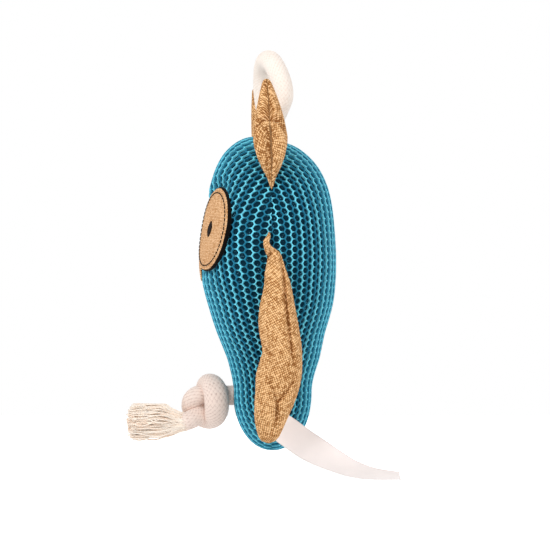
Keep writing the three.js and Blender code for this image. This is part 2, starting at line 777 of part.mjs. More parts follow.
function face() {
  const group = new THREE.Group();
  for (const { name, flip } of sides) {
    const backing = eyeDisc(EYE_DIAMETER, EYE_SIDES, DRAPE_GAP, FELT_WALL);
    const patch = eyeDisc(EYE_DIAMETER, EYE_SIDES, BACKING_TOP + CLEARANCE, EYE_PATCH_WALL);
    const pupil = eyeDisc(PUPIL_DIAMETER, PUPIL_SIDES, PATCH_TOP + CLEARANCE, PUPIL_HEIGHT);
    group.add(piece(`${name}_eye_backing`, flip(backing), felt));
    group.add(piece(`${name}_eye_patch`, flip(patch), burlap));
    group.add(piece(`${name}_eye_stitching`, flip(eyeStitching()), thread));
    group.add(piece(`${name}_pupil`, flip(pupil), thread));
  }
  group.add(piece('beak', beak(), burlap));
  return group;
}

// Group that turns about an axis through a hinge, and a piece's geometry moved into it
function hinged(hinge, axis, degrees) {
  const group = new THREE.Group();
  group.position.copy(hinge);
  group.quaternion.setFromAxisAngle(axis, THREE.MathUtils.degToRad(degrees));
  return group;
}

const atHinge = (geometry, hinge) => geometry.translate(-hinge.x, -hinge.y, -hinge.z);

// Ears turn about a line along the middle of their seam, where the right one leans forward
function ears() {
  const group = new THREE.Group();
  const pad = earPad();
  const swell = EAR_THICKNESS / 2 - PAD_EDGE;
  for (const { name, flip, sign, lean } of sides) {
    const seam = vector(sign * (earHigh[0] - earLow[0]), 0, earHigh[1] - earLow[1]).normalize();
    const hinge = vector(sign * earSeat[0], 0, earSeat[1]);
    const ear = hinged(hinge, seam, -sign * lean);
    const add = (part, geometry, material) =>
      ear.add(piece(`${name}_ear_${part}`, atHinge(flip(geometry), hinge), material));
    add('front', padPanel(pad, -1, swell), burlap);
    add('back', padPanel(pad, 1, swell), burlap);
    add('wadding', padFilling(pad, swell, swell), wadding);
    group.add(ear);
  }
  return group;
}

// Wings turn about their necks
function wings() {
  const group = new THREE.Group();
  const pad = wingPad();
  for (const { name, flip, sign } of sides) {
    const hinge = vector(sign * wingNeck[0], 0, wingNeck[1]);
    const wing = hinged(hinge, vector(0, sign, 0), WING_TUCK);
    const add = (part, geometry, material) =>
      wing.add(piece(`${name}_wing_${part}`, atHinge(flip(geometry), hinge), material));
    add('outer', padPanel(pad, 1, WING_SWELL_OUT), burlap);
    add('inner', padPanel(pad, -1, WING_SWELL_IN), burlap);
    add('wadding', padFilling(pad, WING_SWELL_IN, WING_SWELL_OUT), wadding);
    group.add(wing);
  }
  return group;
}

function ropes() {
  const group = new THREE.Group();
  group.add(piece('rope_loop', ropeLoop(), cotton));
  group.add(piece('rope_foot', ropeFoot(), cotton));
  group.add(piece('frayed_end', frayedEnd(), cotton));
  return group;
}

const owl = new THREE.Group();
owl.add(body(), face(), ears(), wings(), ropes(), piece('seam_label', seamLabel(), satin));
owl.position.copy(loopTop).negate();

const toy = new THREE.Group();
toy.add(owl);

export default toy;
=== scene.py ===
"""Rope owl dog toy: its mesh cover, burlap, ropes and ribbon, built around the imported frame.

Metres, +Z up. The owl faces -Y and its left side is +X.
"""

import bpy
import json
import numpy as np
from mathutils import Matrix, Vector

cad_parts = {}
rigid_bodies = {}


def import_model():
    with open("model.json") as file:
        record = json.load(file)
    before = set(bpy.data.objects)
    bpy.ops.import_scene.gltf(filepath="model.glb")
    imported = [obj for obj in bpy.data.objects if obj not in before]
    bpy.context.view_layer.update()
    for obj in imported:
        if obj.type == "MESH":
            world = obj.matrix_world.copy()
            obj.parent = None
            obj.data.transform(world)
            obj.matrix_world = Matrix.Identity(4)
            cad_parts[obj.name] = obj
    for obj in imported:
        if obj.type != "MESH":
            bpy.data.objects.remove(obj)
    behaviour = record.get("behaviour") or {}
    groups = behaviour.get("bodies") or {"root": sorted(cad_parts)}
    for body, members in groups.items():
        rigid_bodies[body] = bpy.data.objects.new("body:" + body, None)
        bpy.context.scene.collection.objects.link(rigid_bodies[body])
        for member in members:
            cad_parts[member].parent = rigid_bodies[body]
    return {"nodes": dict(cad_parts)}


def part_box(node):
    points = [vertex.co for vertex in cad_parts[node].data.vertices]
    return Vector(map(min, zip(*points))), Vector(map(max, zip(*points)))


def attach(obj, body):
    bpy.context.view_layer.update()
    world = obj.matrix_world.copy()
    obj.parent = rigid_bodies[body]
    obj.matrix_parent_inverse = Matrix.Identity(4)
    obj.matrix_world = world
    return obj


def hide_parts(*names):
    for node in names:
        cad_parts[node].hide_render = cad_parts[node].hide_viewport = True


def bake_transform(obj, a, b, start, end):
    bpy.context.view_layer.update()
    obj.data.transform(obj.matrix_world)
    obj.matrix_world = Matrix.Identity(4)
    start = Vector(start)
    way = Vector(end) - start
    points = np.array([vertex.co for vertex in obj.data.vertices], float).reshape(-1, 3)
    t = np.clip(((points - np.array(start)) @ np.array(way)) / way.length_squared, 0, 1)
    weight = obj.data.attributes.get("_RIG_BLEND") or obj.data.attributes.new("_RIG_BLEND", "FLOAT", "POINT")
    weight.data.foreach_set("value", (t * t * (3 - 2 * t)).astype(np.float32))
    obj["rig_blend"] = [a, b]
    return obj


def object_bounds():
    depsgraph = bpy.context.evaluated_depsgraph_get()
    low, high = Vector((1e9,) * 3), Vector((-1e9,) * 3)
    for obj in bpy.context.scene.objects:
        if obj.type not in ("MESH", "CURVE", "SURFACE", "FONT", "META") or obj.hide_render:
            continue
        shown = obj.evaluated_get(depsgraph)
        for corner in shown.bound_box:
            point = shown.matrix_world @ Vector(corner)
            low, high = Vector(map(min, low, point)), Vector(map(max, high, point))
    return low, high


bl_info = {
    "name": "Rope Owl Dog Toy",
    "version": (1, 0, 0),
    "blender": (4, 5, 0),
    "location": "3D View > Sidebar > Owl Toy",
    "description": "Dresses a stuffed owl toy in air mesh, burlap, cotton rope and ribbon",
    "category": "Add Mesh",
}

import json
import math
import random

import bmesh
import bpy
import numpy as np
from bpy.props import FloatProperty, FloatVectorProperty, IntProperty, PointerProperty
from mathutils import Matrix, Vector, kdtree, noise

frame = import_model()
CAD_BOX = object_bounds()

MM = 0.001
WELD = 1e-7
UV_NAME = "cloth"
SHADER = "Principled BSDF"
# How finely the body is measured, places on it are searched for, and lines are drawn
SAMPLES = 800
HALVINGS = 26
CURVE_STEPS = 24

# Body, from its packed cover, with heights above its lowest point
FRONT_LOW, FRONT_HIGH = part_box("front_cover")
BACK_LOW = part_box("back_cover")[0]
SEAM_Y = (FRONT_HIGH.y + BACK_LOW.y) / 2
BODY_BOTTOM = FRONT_LOW.z
BODY_HEIGHT = FRONT_HIGH.z - FRONT_LOW.z
HEAD_LEVEL = 130 * MM
HEAD_WIDTH = FRONT_HIGH.x
HEAD_DEPTH = FRONT_HIGH.y - FRONT_LOW.y
CROWN_POWER = 2.6
SHOULDER_POWER = 0.85
BASE_LEVEL = 42 * MM
BASE_WIDTH = 36.5 * MM
BASE_DEPTH = 28 * MM
THINNEST = 1 * MM
TOY = Vector((0, SEAM_Y, BODY_BOTTOM))

# How far the stuffing has pushed the body forward of its seam, at heights, in millimetres
FORWARD = (
    (0, -1), (32, -0.7), (65, -1), (82, 0.4), (99, 0.8), (116, 1.7), (162, 2.1), (183, 2.2), (191, 2.6),
    (200, 3.5), (208, 4.6), (218, 5),
)

# Mesh cover: how its columns close up below the head, its forehead, its seam and its filling
PANEL_TURN = 0.8 * math.pi
GATHER_LEVEL = 30 * MM
GATHER_POWER = -0.6
GATHER_LEAST = 0.1
CROWN_LEVEL = 190 * MM
CROWN_RISE = 28 * MM
CROWN_RIDGE = 8 * MM
PINCH_REACH = 2.6 * MM
PINCH_WIDTH = 30 * MM
LUMP_SIZE = 26 * MM
# Painted shade along the seam, and how far it reaches
SEAM_SHADE = 0.3
SEAM_SHADE_REACH = 1 * MM
SEAM_GAP = 0.25 * MM
# Rings of a cell from its rim to its floor: inset in half strands, share of the recess, and painted shade
CELL_RINGS = ((1, 0.12, 0), (0.12, 0.45, 0.1), (0.25, 1, 0.55))
CELL_ROUNDNESS = 0.2
CELL_WELD = 0.02

# Eyes, which are stiff and flatten the cover, and the beak
EYE_LEVEL = 155 * MM
EYE_SPREAD = 30 * MM
EYE_INSET = 2.4 * MM
EYE_HUG = 0.42
EYE_HUG_CHANGE = 0.3
EYE_LEAN = 0.1
EYE_TURN = 0.046
EYE_SEAT = 0.8
BED_EDGE = 1.03
BED_RAISED = 0.9
BED_PRESSED = 0.36
DISC_RIM = 0.6 * MM
DISC_RINGS = 12
DISC_RIM_STEPS = 8
DISC_COLUMNS = 96
# Unevenness of a disc's edge: share of its radius, waves around it, and where the first one starts
DISC_RIPPLES = ((0.006, 5, 1), (0.004, 9, 0))
FELT_MARGIN = 1 * MM
FELT_LIFT = -0.6 * MM
FELT_WALL = 1.8 * MM
PATCH_LIFT = 1.2 * MM
PATCH_WALL = 0.9 * MM
PATCH_THREAD = 0.75
PATCH_RELIEF = 0.12 * MM
PUPIL_WALL = 0.7 * MM
PUPIL_WIDTH = 0.62
PUPIL_TAPER = 0.3
PUPIL_SLANT = 0.16
STITCH_PITCH = 1.06
STITCH_RISE = 0.55
STITCH_SINK = 0.15
STITCH_END = 0.05
STITCH_STEPS = 8
STITCH_SIDES = 6
BEAK_LEVEL = 134 * MM
BEAK_HALF_WIDTH = 9 * MM
BEAK_HALF_HEIGHT = 15 * MM
BEAK_JOWL = 0.7
BEAK_LIFT = -0.3 * MM
BEAK_EDGE = 0.9 * MM
BEAK_SWELL = 0.8 * MM
BEAK_ROUNDNESS = 2.4
BEAK_STEP = 0.9 * MM
# Rings of the beak: share of its outline, and share of its height
BEAK_RINGS = (
    *((share, 0) for share in np.linspace(0, 1, 8)), (1.02, 0.4), (1.01, 0.8),
    *((share, 1) for share in np.linspace(0.985, 0, 16)),
)
BURLAP_RELIEF = 0.3 * MM

# Ears, sewn in the side seam between two levels
EAR_LOW_LEVEL = 184 * MM
EAR_HIGH_LEVEL = 211 * MM
EAR_HEIGHT = 61 * MM
EAR_WIDTH = 38 * MM
EAR_GAP = 0.6 * MM
EAR_ROOT = 3.6 * MM
EAR_SINK = 2.6 * MM
EAR_PINCH = 2.6 * MM
EAR_GROOVE = 2.6 * MM
EAR_PLUMP = 15 * MM
# How finely an ear's outline is divided, and over how many points its sewn edge comes free
EAR_STEP = 1.1 * MM
EAR_SEAM_STEPS = 25
EAR_SEAM_FADE = 5
EAR_RINGS = 34
# Roundness of an ear's edge, as a share of its thickness, and as a power
EAR_EDGE = 0.42
EAR_EDGE_RANGE = (2 * MM, 9 * MM)
EAR_ROUNDNESS = 2.3
# Lean forward in degrees, and the outline as shares of the width and height
LEFT_EAR_LEAN = 2
RIGHT_EAR_LEAN = 6
EAR_OUTLINE = (
    (0.47, -0.05), (0.63, 0.19), (0.71, 0.38), (0.68, 0.5), (0.56, 0.485), (0.37, 0.39),
    (0.42, 0.66), (0.34, 0.88), (0.21, 1), (0.05, 0.9), (-0.11, 0.69), (-0.24, 0.46),
)
EAR_CENTRE = (0.21, 0.27)
EAR_LOBE_SPLIT = 0.46
EAR_LOBE_BLEND = 0.08
EAR_LOBE_EDGE = 0.55
EAR_POINT = 3 * MM
EAR_BEND = 20 * MM
LEFT_EAR_CURL = 2 * MM
RIGHT_EAR_CURL = 7.5 * MM
# Weave of an ear: its thread and grain, and how far it is shifted behind, in degrees and millimetres
EAR_THREAD = 0.85
EAR_GRAIN = 40
EAR_BACK_SHIFT = (37, 11)
# Shade along an ear's edges, and in the valley between its points, with levels in millimetres
EAR_SHADE = 0.7
EAR_SHADE_REACH = 3.2 * MM
EAR_SHADE_PLUMP = 11 * MM
EAR_ARCH = (39, 4)
EAR_VALLEY_SHADE = 0.65
EAR_VALLEY_START = (35, 4)
EAR_VALLEY_TOP = 41
EAR_VALLEY_FADE = 5
EAR_VALLEY_REACH = 7 * MM
# Thickness of an ear at heights above its low end, in millimetres: its tall point and its short outer lobe
EAR_THICKNESS = (
    (-3, 1.2), (6, 7), (13, 14), (20, 19), (27, 22), (34, 22.5), (44, 20.5), (54, 17), (62, 13), (67, 10),
    (71, 7.5), (74, 5), (76, 2),
)
EAR_LOBE_THICKNESS = (
    (-3, 1.2), (6, 7), (13, 14), (20, 19), (27, 21.5), (31, 21.5), (35, 20), (38.5, 17), (41, 13.5),
    (43, 9.5), (44.2, 6), (45, 2),
)

# Wings, which hang from a neck in the side seam
WING_LEVEL = 149 * MM
WING_SEAT = 2.5 * MM
WING_STANDOFF = 9 * MM
WING_NECK_LENGTH = 34 * MM
WING_TUCK = 9
WING_INNER_SHARE = 0.72
WING_EDGE_POWER = 0.85
WING_SWELL_POWER = 0.8
WING_GRAIN = -24
# Rows of a wing, in millimetres: down from the neck, front edge, back edge and half thickness
WING_ROWS = (
    (-3.6, -2.1, -1.1, 0.5), (-1, -2.9, -0.6, 1.1), (1.4, -4.6, -0.5, 1.7), (4.1, -4.9, 0, 2.3),
    (5.7, -4.8, 1.2, 2.6), (7.3, -4.5, 3.5, 3), (9.9, -3.9, 6.8, 3.6), (13.1, -2.9, 8.4, 4.3),
    (17.2, -3.6, 9.9, 5.2), (23, -5.1, 12, 6.4), (30.5, -5.9, 14.5, 7.6), (37.8, -7.5, 16, 8.5),
    (46, -9.3, 17.5, 9.2), (55.7, -10.2, 19.1, 9.7), (63.9, -9.7, 20.4, 10), (71.5, -8.3, 21.4, 10.1),
    (77.6, -7.6, 21.8, 10.2), (81.8, -8.8, 21.9, 10.3), (88.3, -10.5, 21.9, 10.4), (94.6, -12, 21.5, 10.4),
    (104.2, -12.2, 19.6, 10), (114.7, -12.3, 16.1, 9.2), (123, -12, 12.6, 8.2), (130.4, -10.8, 9.5, 6.6),
    (137, -8.8, 6.6, 4.6), (140.4, -6.6, 3.4, 2.6), (142, -2.6, -0.4, 0.6),
)
# Rounding of the tip, and how finely the wing is divided
WING_TIP = 6
WING_TIP_START = 0.96
WING_TIP_LINES = 14
WING_LINES = 140
WING_COLUMNS = 112
WING_THINNEST = 0.2
# Neck of a wing, in millimetres: how deep it sinks in the seam, and a fold on its outer face
WING_NECK_SINK = 3
WING_NECK_REACH = 5
WING_FOLD = 1.6
WING_FOLD_PLACE = (6, -3.4)
WING_FOLD_REACH = (4.5, 2.4)
WING_FOLD_RIM = 3
# Creases of a wing's outer face, in millimetres: down from the neck, across, and depth
WING_CREASES = (
    ((13.8, -4.2, 3.4), (12.2, -1.8, 3.4), (10.4, 0.2, 2.6), (8.2, 1.2, 1.4), (5.8, 1.2, 0.4)),
    (
        (12, 6.9, 0.4), (16, 8.1, 1.6), (25, 9.4, 2.6), (39, 10, 3), (56, 11.7, 2.8), (78, 14.3, 1.8),
        (90, 16.8, 0.4)),
    (
        (88, -3.6, 0.2), (95, -1.6, 0.9), (103, 1.2, 1.4), (111, 4, 2.4), (115, 4, 2.8), (121, 4.2, 2.4),
        (128, 3, 0.5)),
    ((91, 17.4, 0.3), (97, 14.8, 1.2), (102, 11.8, 1.6), (107, 7.6, 2), (112, 4.2, 2.2)),
    ((71, -8.6, 1.2), (76, -3.8, 0.9), (79, 1, 0.2)),
)
CREASE_WIDTH = 1.15
CREASE_SHADE_WIDTH = 0.85
CREASE_DARK = 2.2
CREASE_RIM = 2.5

# Rope loop: across, back, and up from its ends, in millimetres
LOOP_ROUTE = (
    (16, 0, 0), (18, 1.5, 8), (20.5, 5, 16), (22, 8, 24), (21.5, 7.5, 32), (18.5, 5, 40), (13, 2, 46.5),
    (6.5, -0.5, 50), (0, -2.4, 51), (-6.5, -4, 50), (-13, -5.3, 46.5), (-18.5, -5.8, 40), (-21.5, -5.8, 32),
    (-22, -5, 24), (-20.5, -3.5, 16), (-18, -1.5, 8), (-16, 0, 0),
)
# Rope foot: out from the body, up, and to the left of where it leaves the body, in millimetres
FOOT_ROUTE = (
    (0, 0, 0), (4.5, 0, -1.5), (9, 0, -2), (13.5, 0.5, -1), (18, 0, 0.5), (21.5, -2.5, 0), (23, -7, -4),
    (21.5, -11.5, -9), (17, -15, -11.5), (11.5, -17, -8.5), (7, -15.5, -0.5), (5, -10, 7), (5, -2.5, 11),
    (6, 4, 9), (8.5, 8, 3), (11.5, 7.5, -4.5), (13.5, 2.5, -9.5), (15, -4.5, -9), (16.5, -10.5, -4.5),
    (19, -14.5, 1), (23.5, -17, 4), (28, -18.5, 3.5), (32, -19, 2),
)
FOOT_LEVEL = 39 * MM
ROPE_SINK = 1.6 * MM
ROPE_ROOT = 7 * MM
ROPE_STEP = 0.45 * MM
# Braid: columns of points to a strand, and how square the ends of a strand are
STRAND_COLUMNS = 5
STRAND_END = 0.4
# Knot: where along the rope its outer turn lies, and how it squeezes and draws out the rope there
KNOT_WRAP = 0.55
KNOT_REACH = 0.13
KNOT_SQUEEZE = 0.12
KNOT_STRETCH = 0.26
KNOT_ROPE = 0.96
TAIL_SHARE = 0.12
TAIL_TAPER = 0.08
# Frayed end: yarns that leave the rope together and spread, in millimetres, with some of them astray
FRAY_LENGTH = 33 * MM
FRAY_TURN = 0.25
FRAY_ROOT = 6 * MM
FRAY_OVERLAP = 1 * MM
FRAY_DOME = (1.07, 0.1)
FRAY_CHANCE = 0.04
FRAY_BUNDLE = 1.04
FRAY_SPREAD = 11.5
FRAY_LIFT = 1.2
FRAY_START = 1.5
FRAY_LEAN = 0.6
FRAY_CURL = 1.1
FRAY_WAVES = 2.6
FRAY_OPEN = 0.62
FRAY_STEPS = 12
FRAY_SIDES = 5
FRAY_SEED = 11
STRAY_EVERY = 17
STRAY_SPREAD = 2.2
STRAY_LENGTH = 0.8
YARN_BATCH = 25
YARN_THICKNESS = (0.7, 1.15)
# Tone of a loose yarn: its random share, the rest being painted shade deeper in the bundle, then its lowest
# and its range
YARN_CHANCE = 0.45
YARN_TONE = (0.25, 0.6)

# Simulation of the stuffed forms
PUFF_VOXEL = 2.5 * MM
PUFF_PRESSURE = 12
PUFF_LIMIT = 1.4 * MM
PUFF_FRAMES = 20
PUFF_NEIGHBOURS = 8
EAR_DRAWN = 0.4 * MM
WING_DRAWN = 0.5 * MM

# Ribbon: out, back and up from its seam in millimetres, and its twist in degrees
LABEL_ROUTE = (
    (0, 0, 0, 0), (1.5, 9, -5.5, 0), (4, 24.5, -16.5, 5), (7, 42, -26.5, 35), (10, 56, -32.8, 51),
    (12.5, 70, -36.2, 63), (15, 88.3, -37.7, 72),
)
LABEL_LEVEL = 22 * MM
LABEL_STEP = 1.2 * MM
LABEL_SEAM_REACH = 11 * MM
LABEL_CUP = 0.9 * MM
LABEL_COLUMNS = 24
SELVEDGE = 0.04

# Stage
VIEW_CENTRE = TOY + Vector((0, 2.45 * MM, 123.2 * MM))
FLOOR_SIZE = 4
WHITE = (1, 1, 1, 1)


def linear(code):
    """Linear colour of an sRGB hex code."""
    parts = [int(code[i:i + 2], 16) / 255 for i in (1, 3, 5)]
    return tuple(c / 12.92 if c <= 0.04045 else ((c + 0.055) / 1.055) ** 2.4 for c in parts)


def length(name, description, millimetres):
    return FloatProperty(
        name=name, description=description, default=millimetres * MM, unit="LENGTH", precision=5)


def colour(name, description, code):
    return FloatVectorProperty(
        name=name, description=description, subtype="COLOR", size=3, min=0, max=1, default=linear(code))


class OwlCoverSettings(bpy.types.PropertyGroup):
    cell_across: length("Cell across", "From one column of mesh cells to the next", 4.6)
    cell_along: length("Cell along", "From one mesh cell to the next in its column", 4.8)
    strand: length("Strand", "Width of the yarn between two cells", 0.72)
    recess: length("Recess", "Depth of the mesh cells", 1.5)
    pinch: length("Seam pinch", "How far the seam draws the cover in", 1.3)
    crown: length("Crown", "How far the forehead rises over the seam on the crown", 2.6)
    lumps: length("Lumps", "How far the filling pushes the cover in and out", 0.8)
    bright: colour("Bright yarn", "Zigzag yarn of every second column", "#70dcf4")
    dim: colour("Dim yarn", "Yarn between the bright columns", "#1a7897")
    backing: colour("Backing", "Cloth at the bottom of the cells", "#032a3a")
    # Specks are painted highlights, small glints of light on the backing in the cells
    speck: colour("Specks", "Loose loops of yarn on the backing", "#5d9bb0")


class OwlBurlapSettings(bpy.types.PropertyGroup):
    # The threads are about 1.3 mm apart in the cloth, and drawn a little coarser so that they show
    thread: length("Thread spacing", "From one jute thread to the next", 1.5)
    # Thread colours paint the light: the tops lit, the sides darker, and painted shade in the gaps
    light: colour("Light thread", "Top of a jute thread", "#ffd09a")
    middle: colour("Thread", "Side of a jute thread", "#dca469")
    dark: colour("Gap", "Shade between the threads", "#925c2c")
    # The eye patch's thread colours paint the light in the same way: lit tops, darker sides, painted shade in
    # the gaps
    patch_light: colour("Light patch thread", "Top of an eye patch's thread", "#edc298")
    patch_middle: colour("Patch thread", "Side of an eye patch's thread", "#dba977")
    patch_dark: colour("Patch gap", "Shade between an eye patch's threads", "#b07c4c")


class OwlFaceSettings(bpy.types.PropertyGroup):
    eye: length("Eye", "Diameter of an eye patch", 57)
    stitch_inset: length("Stitch inset", "From the edge of the patch to its stitches", 3)
    stitch: length("Stitch", "Length of a stitch", 2.9)
    thread: length("Thread", "Thickness of the sewing thread", 0.75)
    pupil: length("Pupil", "Diameter of an embroidered pupil", 11)
    felt_colour: colour("Felt", "Felt below the patches", "#0d0a09")
    thread_colour: colour("Thread", "Stitches and pupils", "#140b08")


class OwlRopeSettings(bpy.types.PropertyGroup):
    diameter: length("Rope", "Diameter of the rope", 14)
    relief: length("Relief", "How far the braid's strands stand out", 0.3)
    carriers: IntProperty(
        name="Strands", description="Strands of the braid each way round", default=16, min=8)
    yarns: IntProperty(name="Yarns", description="Loose yarns of the frayed end", default=640, min=50)
    yarn: length("Yarn", "Thickness of a loose yarn", 0.95)
    # Cotton colours: the tops of the strands, and painted shade between them
    cotton: colour("Cotton", "Top of the strands", "#f9eee4")
    shade: colour("Cotton shade", "Between the strands", "#e8d3c4")
    # The knot's colours are the same cotton, darker as painted shade from the body beside it
    knot: colour("Knot", "Top of the strands of the shaded knot", "#f1ded3")
    knot_shade: colour("Knot shade", "Between the strands of the knot", "#bda196")
    # Frayed yarn: its light colour, and painted shade between and inside the loose yarns
    fray: colour("Frayed yarn", "Loose yarn at the rope's end", "#fff3e6")
    fray_shade: colour("Frayed yarn shade", "Turns of the loose yarn", "#f3be8e")


class OwlLabelSettings(bpy.types.PropertyGroup):
    width: length("Ribbon", "Width of the ribbon", 20)
    wall: length("Ribbon thickness", "Thickness of the ribbon", 0.4)
    satin: colour("Satin", "Bare satin ribbon", "#fbf0ec")


class OwlStageSettings(bpy.types.PropertyGroup):
    distance: length("Distance", "Camera from the toy", 2400)
    view: length("View", "Width of the view at the toy", 385)
    drop: length("Drop", "From the toy down to the floor", 120)
    key: FloatProperty(name="Key light", description="Power of the key light", default=9, subtype="POWER")
    fill: FloatProperty(name="Fill light", description="Power of the fill light", default=4, subtype="POWER")
    ambient: FloatProperty(name="Ambient", description="Strength of the even light all round", default=0.55)


class OwlToySettings(bpy.types.PropertyGroup):
    cover: PointerProperty(type=OwlCoverSettings)
    burlap: PointerProperty(type=OwlBurlapSettings)
    face: PointerProperty(type=OwlFaceSettings)
    rope: PointerProperty(type=OwlRopeSettings)
    label: PointerProperty(type=OwlLabelSettings)
    stage: PointerProperty(type=OwlStageSettings)


# Form of the body


def half_size(z, head, base):
    """Half the width or depth of the body at a height."""
    if z >= HEAD_LEVEL:
        rise = min(1, (z - HEAD_LEVEL) / (BODY_HEIGHT - HEAD_LEVEL))
        return head * (1 - rise ** CROWN_POWER) ** (1 / CROWN_POWER)
    if z >= BASE_LEVEL:
        share = ((z - BASE_LEVEL) / (HEAD_LEVEL - BASE_LEVEL)) ** SHOULDER_POWER
        return base + (head - base) * (1 - math.cos(math.pi * share)) / 2
    drop = min(1, (BASE_LEVEL - z) / BASE_LEVEL)
    return base * math.sqrt(1 - drop * drop)


def half_width(z):
    return half_size(z, HEAD_WIDTH, BASE_WIDTH)


def half_depth(z, side):
    """Depth of the body in front of its seam, where side is -1, or behind it, where side is 1."""
    depth = half_size(z, HEAD_DEPTH, BASE_DEPTH)
    levels, moves = zip(*FORWARD)
    forward = np.interp(z / MM, levels, moves) * MM
    return depth - side * max(-depth / 2, min(forward, depth / 2))


def summed(steps):
    """Running sum from zero."""
    return np.concatenate([[0], np.cumsum(steps)])


def eased(share):
    """Share from 0 to 1 that starts and ends gently."""
    return share * share * (3 - 2 * share)


def passed(value, start, reach):
    """Share of a reach, from 0 to 1, that a value lies past a start."""
    return np.clip((value - start) / reach, 0, 1)


def bell(distance, reach):
    """Soft peak of 1 that fades over a reach."""
    return np.exp(-(distance / reach) ** 2)


LEVELS = np.linspace(0, BODY_HEIGHT, 2 * SAMPLES + 1)
WIDTHS = np.array([half_width(z) for z in LEVELS])
DEPTHS = {side: np.array([half_depth(z, side) for z in LEVELS]) for side in (-1, 1)}
NARROWING = np.interp(np.maximum(LEVELS, GATHER_LEVEL), LEVELS, WIDTHS) / HEAD_WIDTH
SPANS = WIDTHS * np.where(LEVELS < HEAD_LEVEL, np.maximum(NARROWING, GATHER_LEAST) ** GATHER_POWER, 1)
MERIDIAN = summed(np.hypot(np.diff((WIDTHS + DEPTHS[-1]) / 2), np.diff(LEVELS)))
MERIDIAN -= np.interp(HEAD_LEVEL, LEVELS, MERIDIAN)
ANGLES = np.linspace(0, PANEL_TURN, SAMPLES + 1)
ARC = summed(np.hypot(np.diff(np.sin(ANGLES)), np.diff(np.cos(ANGLES)) * HEAD_DEPTH / HEAD_WIDTH))
SEAM_ARC = np.interp(math.pi / 2, ANGLES, ARC)


def lump(points, size):
    """Soft ups and downs between -1 and 1, at about a size."""
    return np.array([noise.noise(Vector(point) / size) for point in points])


def drape(flat, side, cover, eye_radius):
    """Lays points of a flat panel, given across, along and above it, over the front or back of the body."""
    across, along, above = flat.T
    z = np.interp(along, MERIDIAN, LEVELS)
    tables = (WIDTHS, DEPTHS[side], SPANS)
    width, depth, span = (np.maximum(np.interp(z, LEVELS, table), THINNEST) for table in tables)
    angle = np.interp(np.abs(across) / span, ARC, ANGLES) * np.sign(across)
    x = -side * width * np.sin(angle)
    y = side * depth * np.cos(angle)
    slope_width, slope_depth = (np.interp(z, LEVELS, np.gradient(table, LEVELS)) for table in tables[:2])
    steep = x ** 2 * slope_width / width ** 3 + y ** 2 * slope_depth / depth ** 3
    normals = np.stack([x / width ** 2, y / depth ** 2, -steep], axis=1)
    normals /= np.linalg.norm(normals, axis=1)[:, None]
    if side < 0:
        z = z + cover.crown * (passed(z, CROWN_LEVEL, CROWN_RISE) ** 2 * (1 - bell(y, CROWN_RIDGE)))
    points = np.stack([x, y, z], axis=1) + np.array(TOY)
    to_seam = np.abs(span * SEAM_ARC - np.abs(across)) * width / span
    above = above - cover.pinch * np.minimum(1, width / PINCH_WIDTH) * bell(to_seam, PINCH_REACH)
    above = above + cover.lumps * (lump(points, LUMP_SIZE) - 0.5)
    beds = eye_beds(points, eye_radius) if side < 0 else 0
    return points + beds + normals * above[:, None], to_seam


def outside_cover(point):
    """Above zero outside the cover and below zero inside it."""
    z = min(max(point.z - BODY_BOTTOM, WELD), BODY_HEIGHT - WELD)
    depth = half_depth(z, -1 if point.y < SEAM_Y else 1)
    return (point.x / half_width(z)) ** 2 + ((point.y - SEAM_Y) / depth) ** 2 - 1


def cover_frame(x, z):
    """Middle of a patch on the front of the cover, with its normal and its directions across and up."""
    middle = TOY + Vector((x, -half_depth(z, -1) * math.sqrt(1 - (x / half_width(z)) ** 2), z))
    step = 0.1 * MM
    moves = [Vector(axis) * step for axis in ((1, 0, 0), (0, 1, 0), (0, 0, 1))]
    normal = Vector([outside_cover(middle + move) - outside_cover(middle - move) for move in moves])
    normal.normalize()
    across = Vector((0, 0, 1)).cross(normal).normalized()
    return middle, normal, across, normal.cross(across)


def cover_height(patch, u, v):
    """Height of the cover over the middle of a patch, below zero where it curves away."""
    middle, normal, across, up = patch
    start = middle + across * u + up * v
    near, far = -HEAD_DEPTH, HEAD_DEPTH
    for _ in range(HALVINGS):
        half = (near + far) / 2
        if outside_cover(start - normal * half) > 0:
            near = half
        else:
            far = half
    return -near


def eye_height(u, v, cover, radius):
    """Height of an eye over its middle: flatter than the cover's height, and leaning back at the top."""
    return (EYE_HUG - EYE_HUG_CHANGE * u / radius) * cover - EYE_INSET - EYE_LEAN * v + EYE_TURN * u


def eye_beds(points, radius):
    """How far the stiff eyes press points of the cover in or out, fading round each eye."""
    moves = np.zeros_like(points)
    middle, normal, across, up = (np.array(part) for part in EYE_PLACE)
    for mirror in (1, -1):
        away = points * (mirror, 1, 1) - middle
        u, v, height = away @ across, away @ up, away @ normal
        reach = np.hypot(u, v)
        inside = np.minimum(1, radius / np.maximum(reach, WELD))
        rim = height * inside ** 2
        rise = eye_height(u * inside, v * inside, rim, radius) - rim
        fade = eased(passed(reach / radius, BED_EDGE, np.where(rise > 0, BED_RAISED, BED_PRESSED)))
        rise = np.where(rise > 0, EYE_SEAT, 1) * rise * (1 - fade)
        moves += rise[:, None] * normal * (mirror, 1, 1)
    return moves


EYE_PLACE = cover_frame(EYE_SPREAD, EYE_LEVEL)


# Lines and meshes


def interpolated(table, share):
    """Smooth value at a share from a table of shares and values."""
    shares, values = zip(*table)
    place = np.interp(share, shares, range(len(shares)))
    i = min(int(place), len(shares) - 2)
    t = place - i
    before, after = values[max(i - 1, 0)], values[min(i + 2, len(values) - 1)]
    a, b = values[i], values[i + 1]
    bend = 2 * before - 5 * a + 4 * b - after + t * (3 * (a - b) + after - before)
    return a + t / 2 * (b - before + t * bend)


